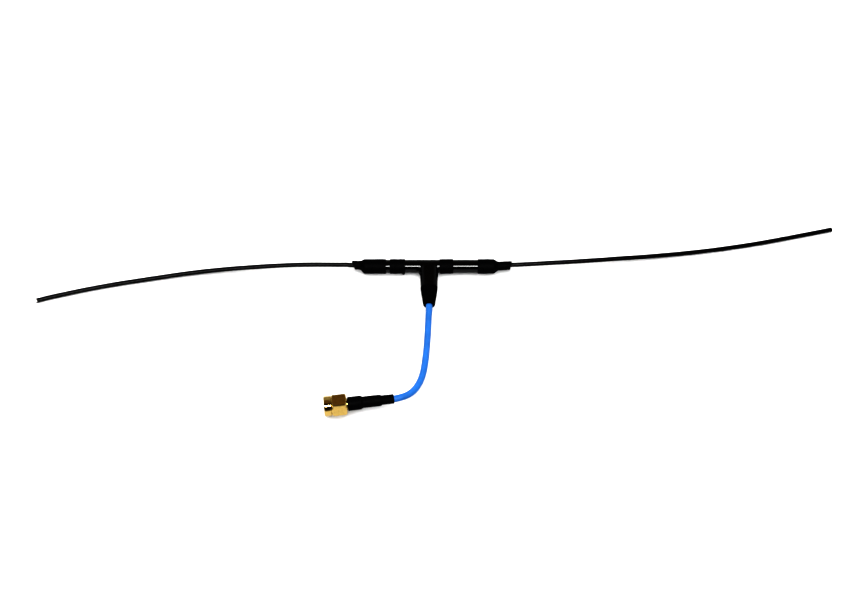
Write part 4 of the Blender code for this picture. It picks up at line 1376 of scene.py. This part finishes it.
class ANTENNA_OT_nut(bpy.types.Operator):
    """Make the coupling nut: hexagon, round front, inside thread and retaining groove"""

    bl_idname = "antenna.nut"
    bl_label = "Coupling nut"

    def execute(self, context):
        settings = context.scene.antenna_plug
        angles = around(NUT_POINTS)
        length = along_plug_of("coupling_nut")[1]
        hex_end = settings.hex_length
        rim = settings.round_radius
        corner = settings.corner_radius
        free = settings.across_flats
        outside = [
            (0.0, 3.55 * MM),
            (0.04 * MM, 3.70 * MM),
            (0.10 * MM, 3.86 * MM),
            (0.30 * MM, 4.18 * MM),
            (0.52 * MM, corner),
            (0.60 * MM, free),
            (hex_end - 0.50 * MM, free),
            (hex_end - 0.42 * MM, corner),
            (hex_end - 0.14 * MM, 4.12 * MM),
            (hex_end - 0.02 * MM, 3.95 * MM),
            (hex_end, 3.80 * MM),
            (hex_end + 0.18 * MM, 3.76 * MM),
            (hex_end + 0.30 * MM, rim - 0.05 * MM),
            (hex_end + 0.36 * MM, rim),
            (length - 0.36 * MM, rim),
            (length - 0.14 * MM, rim - 0.06 * MM),
            (length - 0.03 * MM, rim - 0.20 * MM),
            (length, rim - 0.34 * MM),
        ]
        flats = hexagon(angles, settings.across_flats)
        rows = []
        for station, limit in outside:
            radius = soft_least(flats, np.full(len(angles), limit), 0.10 * MM)
            rows.append((station, np.minimum(radius, limit)))
        rows += self.bore(settings, angles, length)
        made = skin("plug_nut", plug_rings(*split(rows), angles), closed=True)
        dress(made, "nut", "gold_plate", "coupling_nut")
        return {"FINISHED"}

    def bore(self, settings, angles, length):
        """The inside from the front edge back: a lead-in, the thread, then the grooved land."""
        rows = []
        mean = settings.bore_radius
        for station, radius in ((length, mean + 0.34 * MM), (length - 0.10 * MM, mean + 0.22 * MM)):
            rows.append((station, np.full(len(angles), radius)))
        land = 3.2 * MM
        steps = 64
        for i in range(steps + 1):
            station = length - 0.30 * MM - (length - 0.30 * MM - land - 0.5 * MM) * i / steps
            turn = angles / TURN + station / settings.thread_pitch
            wave = 1.0 - 2.0 * np.abs(2.0 * (turn - np.floor(turn)) - 1.0)
            fade = min(1.0, 6.0 * i / steps, 6.0 * (steps - i) / steps)
            rows.append((station, mean + 0.5 * settings.thread_depth * wave * fade))
        middle = land / 2.0
        groove = 0.30 * MM
        for station, radius in (
            (land, 2.90 * MM),
            (land - 0.02 * MM, 2.56 * MM),
            (middle + groove, 2.55 * MM),
            (middle + groove - 0.01 * MM, 2.93 * MM),
            (middle - groove + 0.01 * MM, 2.93 * MM),
            (middle - groove, 2.55 * MM),
            (0.08 * MM, 2.55 * MM),
            (0.0, 2.64 * MM),
        ):
            rows.append((station, np.full(len(angles), radius)))
        return rows


class ANTENNA_OT_plug_inside(bpy.types.Operator):
    """Make the plug's body, bead, pin, gasket, ferrule and retaining ring"""

    bl_idname = "antenna.plug_inside"
    bl_label = "Plug body"

    def execute(self, context):
        self.body()
        self.bead_and_pin()
        self.ferrule_and_ring()
        return {"FINISHED"}

    def turned_piece(self, name, profile, edge, slot, body, node):
        stations, radii = split(soften(profile, edge))
        return plug_piece(name, stations, radii, slot, body, node)

    def plain_tube(self, start, end, bore, radius):
        return [(start, bore), (start, radius), (end, radius), (end, bore)]

    def body(self):
        start, front = along_plug_of("sma_body")
        bore, barrel, groove, collar = 1.42 * MM, 1.80 * MM, 2.075 * MM, 2.45 * MM
        flange, nose, socket = 2.72 * MM, 2.28 * MM, 1.95 * MM
        collar_start, groove_start, groove_end = -0.10 * MM, 1.15 * MM, 2.05 * MM
        socket_floor, flange_start, flange_end = 2.90 * MM, 3.50 * MM, 4.50 * MM
        profile = [
            (start, bore),
            (start, barrel - 0.20 * MM),
            (start + 0.25 * MM, barrel),
            (collar_start, barrel),
            (collar_start, collar),
            (groove_start, collar),
            (groove_start, groove),
            (groove_end, groove),
            (groove_end, collar),
            (flange_start, collar),
            (flange_start, flange),
            (flange_end, flange),
            (flange_end, nose),
            (front, nose),
            (front, socket),
            (socket_floor, socket),
            (socket_floor, bore),
        ]
        self.turned_piece("plug_body", profile, 0.06 * MM, "gold_plate", "hub", "sma_body")

    def bead_and_pin(self):
        start, front = along_plug_of("sma_insulator")
        profile = self.plain_tube(start, front, 0.52 * MM, 1.89 * MM)
        self.turned_piece("plug_bead", profile, 0.05 * MM, "white_insulator", "hub", "sma_insulator")
        start, tip = along_plug_of("sma_center_pin")
        profile = [
            (start, 0.43 * MM),
            (start + 0.02 * MM, 0.46 * MM),
            (tip - 0.55 * MM, 0.46 * MM),
            (tip - 0.36 * MM, 0.42 * MM),
            (tip - 0.18 * MM, 0.33 * MM),
            (tip - 0.06 * MM, 0.21 * MM),
            (tip, 0.06 * MM),
        ]
        plug_piece("plug_pin", *split(profile), "gold_plate", "hub", "sma_center_pin", closed=False, count=32)
        start, end = along_plug_of("sma_gasket")
        middle = (start + end) / 2.0
        half = (end - start) / 2.0
        gasket_radius, gasket_height = 2.53 * MM, 0.20 * MM
        profile = []
        for angle in around(16):
            profile.append((middle + half * math.cos(angle), gasket_radius + gasket_height * math.sin(angle)))
        plug_piece("plug_gasket", *split(profile), "gasket_rubber", "hub", "sma_gasket")

    def ferrule_and_ring(self):
        start, end = along_plug_of("crimp_ferrule")
        profile = self.plain_tube(start, end, 1.85 * MM, 2.25 * MM)
        self.turned_piece("plug_ferrule", profile, 0.10 * MM, "gold_plate", "hub", "crimp_ferrule")
        middle = sum(along_plug_of("snap_ring")) / 2.0
        gap = math.radians(24.0)
        ring_radius, ring_height, ring_width = 2.50 * MM, 0.355 * MM, 0.235 * MM
        rows = []
        for angle in np.linspace(gap / 2.0, TURN - gap / 2.0, TUBE_POINTS):
            direction = PLUG_SIDE * math.cos(angle) + PLUG_AXIS.cross(PLUG_SIDE) * math.sin(angle)
            row = []
            for turn in around(12):
                radius = ring_radius + ring_height * math.cos(turn)
                station = middle + ring_width * math.sin(turn)
                row.append(PLUG_REAR + PLUG_AXIS * station + direction * radius)
            rows.append(row)
        made = skin("plug_retainer", np.array(rows))
        dress(made, "nut_retainer", "spring_steel", "snap_ring")


class ANTENNA_OT_feed(bpy.types.Operator):
    """Give the feed's inner parts their finishes"""

    bl_idname = "antenna.feed"
    bl_label = "Feed inside the hub"

    def execute(self, context):
        for entry in frame["record"]["subparts"]:
            node = frame["nodes"][entry["node"]]
            if node.hide_render:
                continue
            node.data.materials.clear()
            node.data.materials.append(finish_for(entry["material_slot"]))
        return {"FINISHED"}


# ---------------------------------------------------------------- panel and registration


STEPS = (
    ANTENNA_OT_stage,
    ANTENNA_OT_coax,
    ANTENNA_OT_elements,
    ANTENNA_OT_bands,
    ANTENNA_OT_end_boots,
    ANTENNA_OT_housing,
    ANTENNA_OT_stem_relief,
    ANTENNA_OT_sleeves,
    ANTENNA_OT_nut,
    ANTENNA_OT_plug_inside,
    ANTENNA_OT_feed,
)

GROUPS = {
    "antenna_element": ElementSettings,
    "antenna_shrink": ShrinkSettings,
    "antenna_coax": CoaxSettings,
    "antenna_housing": HousingSettings,
    "antenna_plug": PlugSettings,
    "antenna_finish": FinishSettings,
    "antenna_studio": StudioSettings,
}


class ANTENNA_PT_panel(bpy.types.Panel):
    """Lists the steps and the sizes"""

    bl_label = "Wire Dipole Antenna"
    bl_idname = "ANTENNA_PT_panel"
    bl_space_type = "VIEW_3D"
    bl_region_type = "UI"
    bl_category = "Antenna"

    def draw(self, context):
        layout = self.layout
        for step in STEPS:
            layout.operator(step.bl_idname)
        for name, group in GROUPS.items():
            column = layout.column(heading=name.replace("_", " "))
            for value in group.__annotations__:
                column.prop(getattr(context.scene, name), value)


def register():
    for name, group in GROUPS.items():
        bpy.utils.register_class(group)
        setattr(bpy.types.Scene, name, PointerProperty(type=group))
    for step in STEPS:
        bpy.utils.register_class(step)
    bpy.utils.register_class(ANTENNA_PT_panel)


def unregister():
    bpy.utils.unregister_class(ANTENNA_PT_panel)
    for step in reversed(STEPS):
        bpy.utils.unregister_class(step)
    for name, group in reversed(GROUPS.items()):
        delattr(bpy.types.Scene, name)
        bpy.utils.unregister_class(group)


def main():
    register()
    for step in STEPS:
        group, name = step.bl_idname.split(".")
        getattr(getattr(bpy.ops, group), name)()
    declare_coax()


if __name__ == "__main__":
    main()
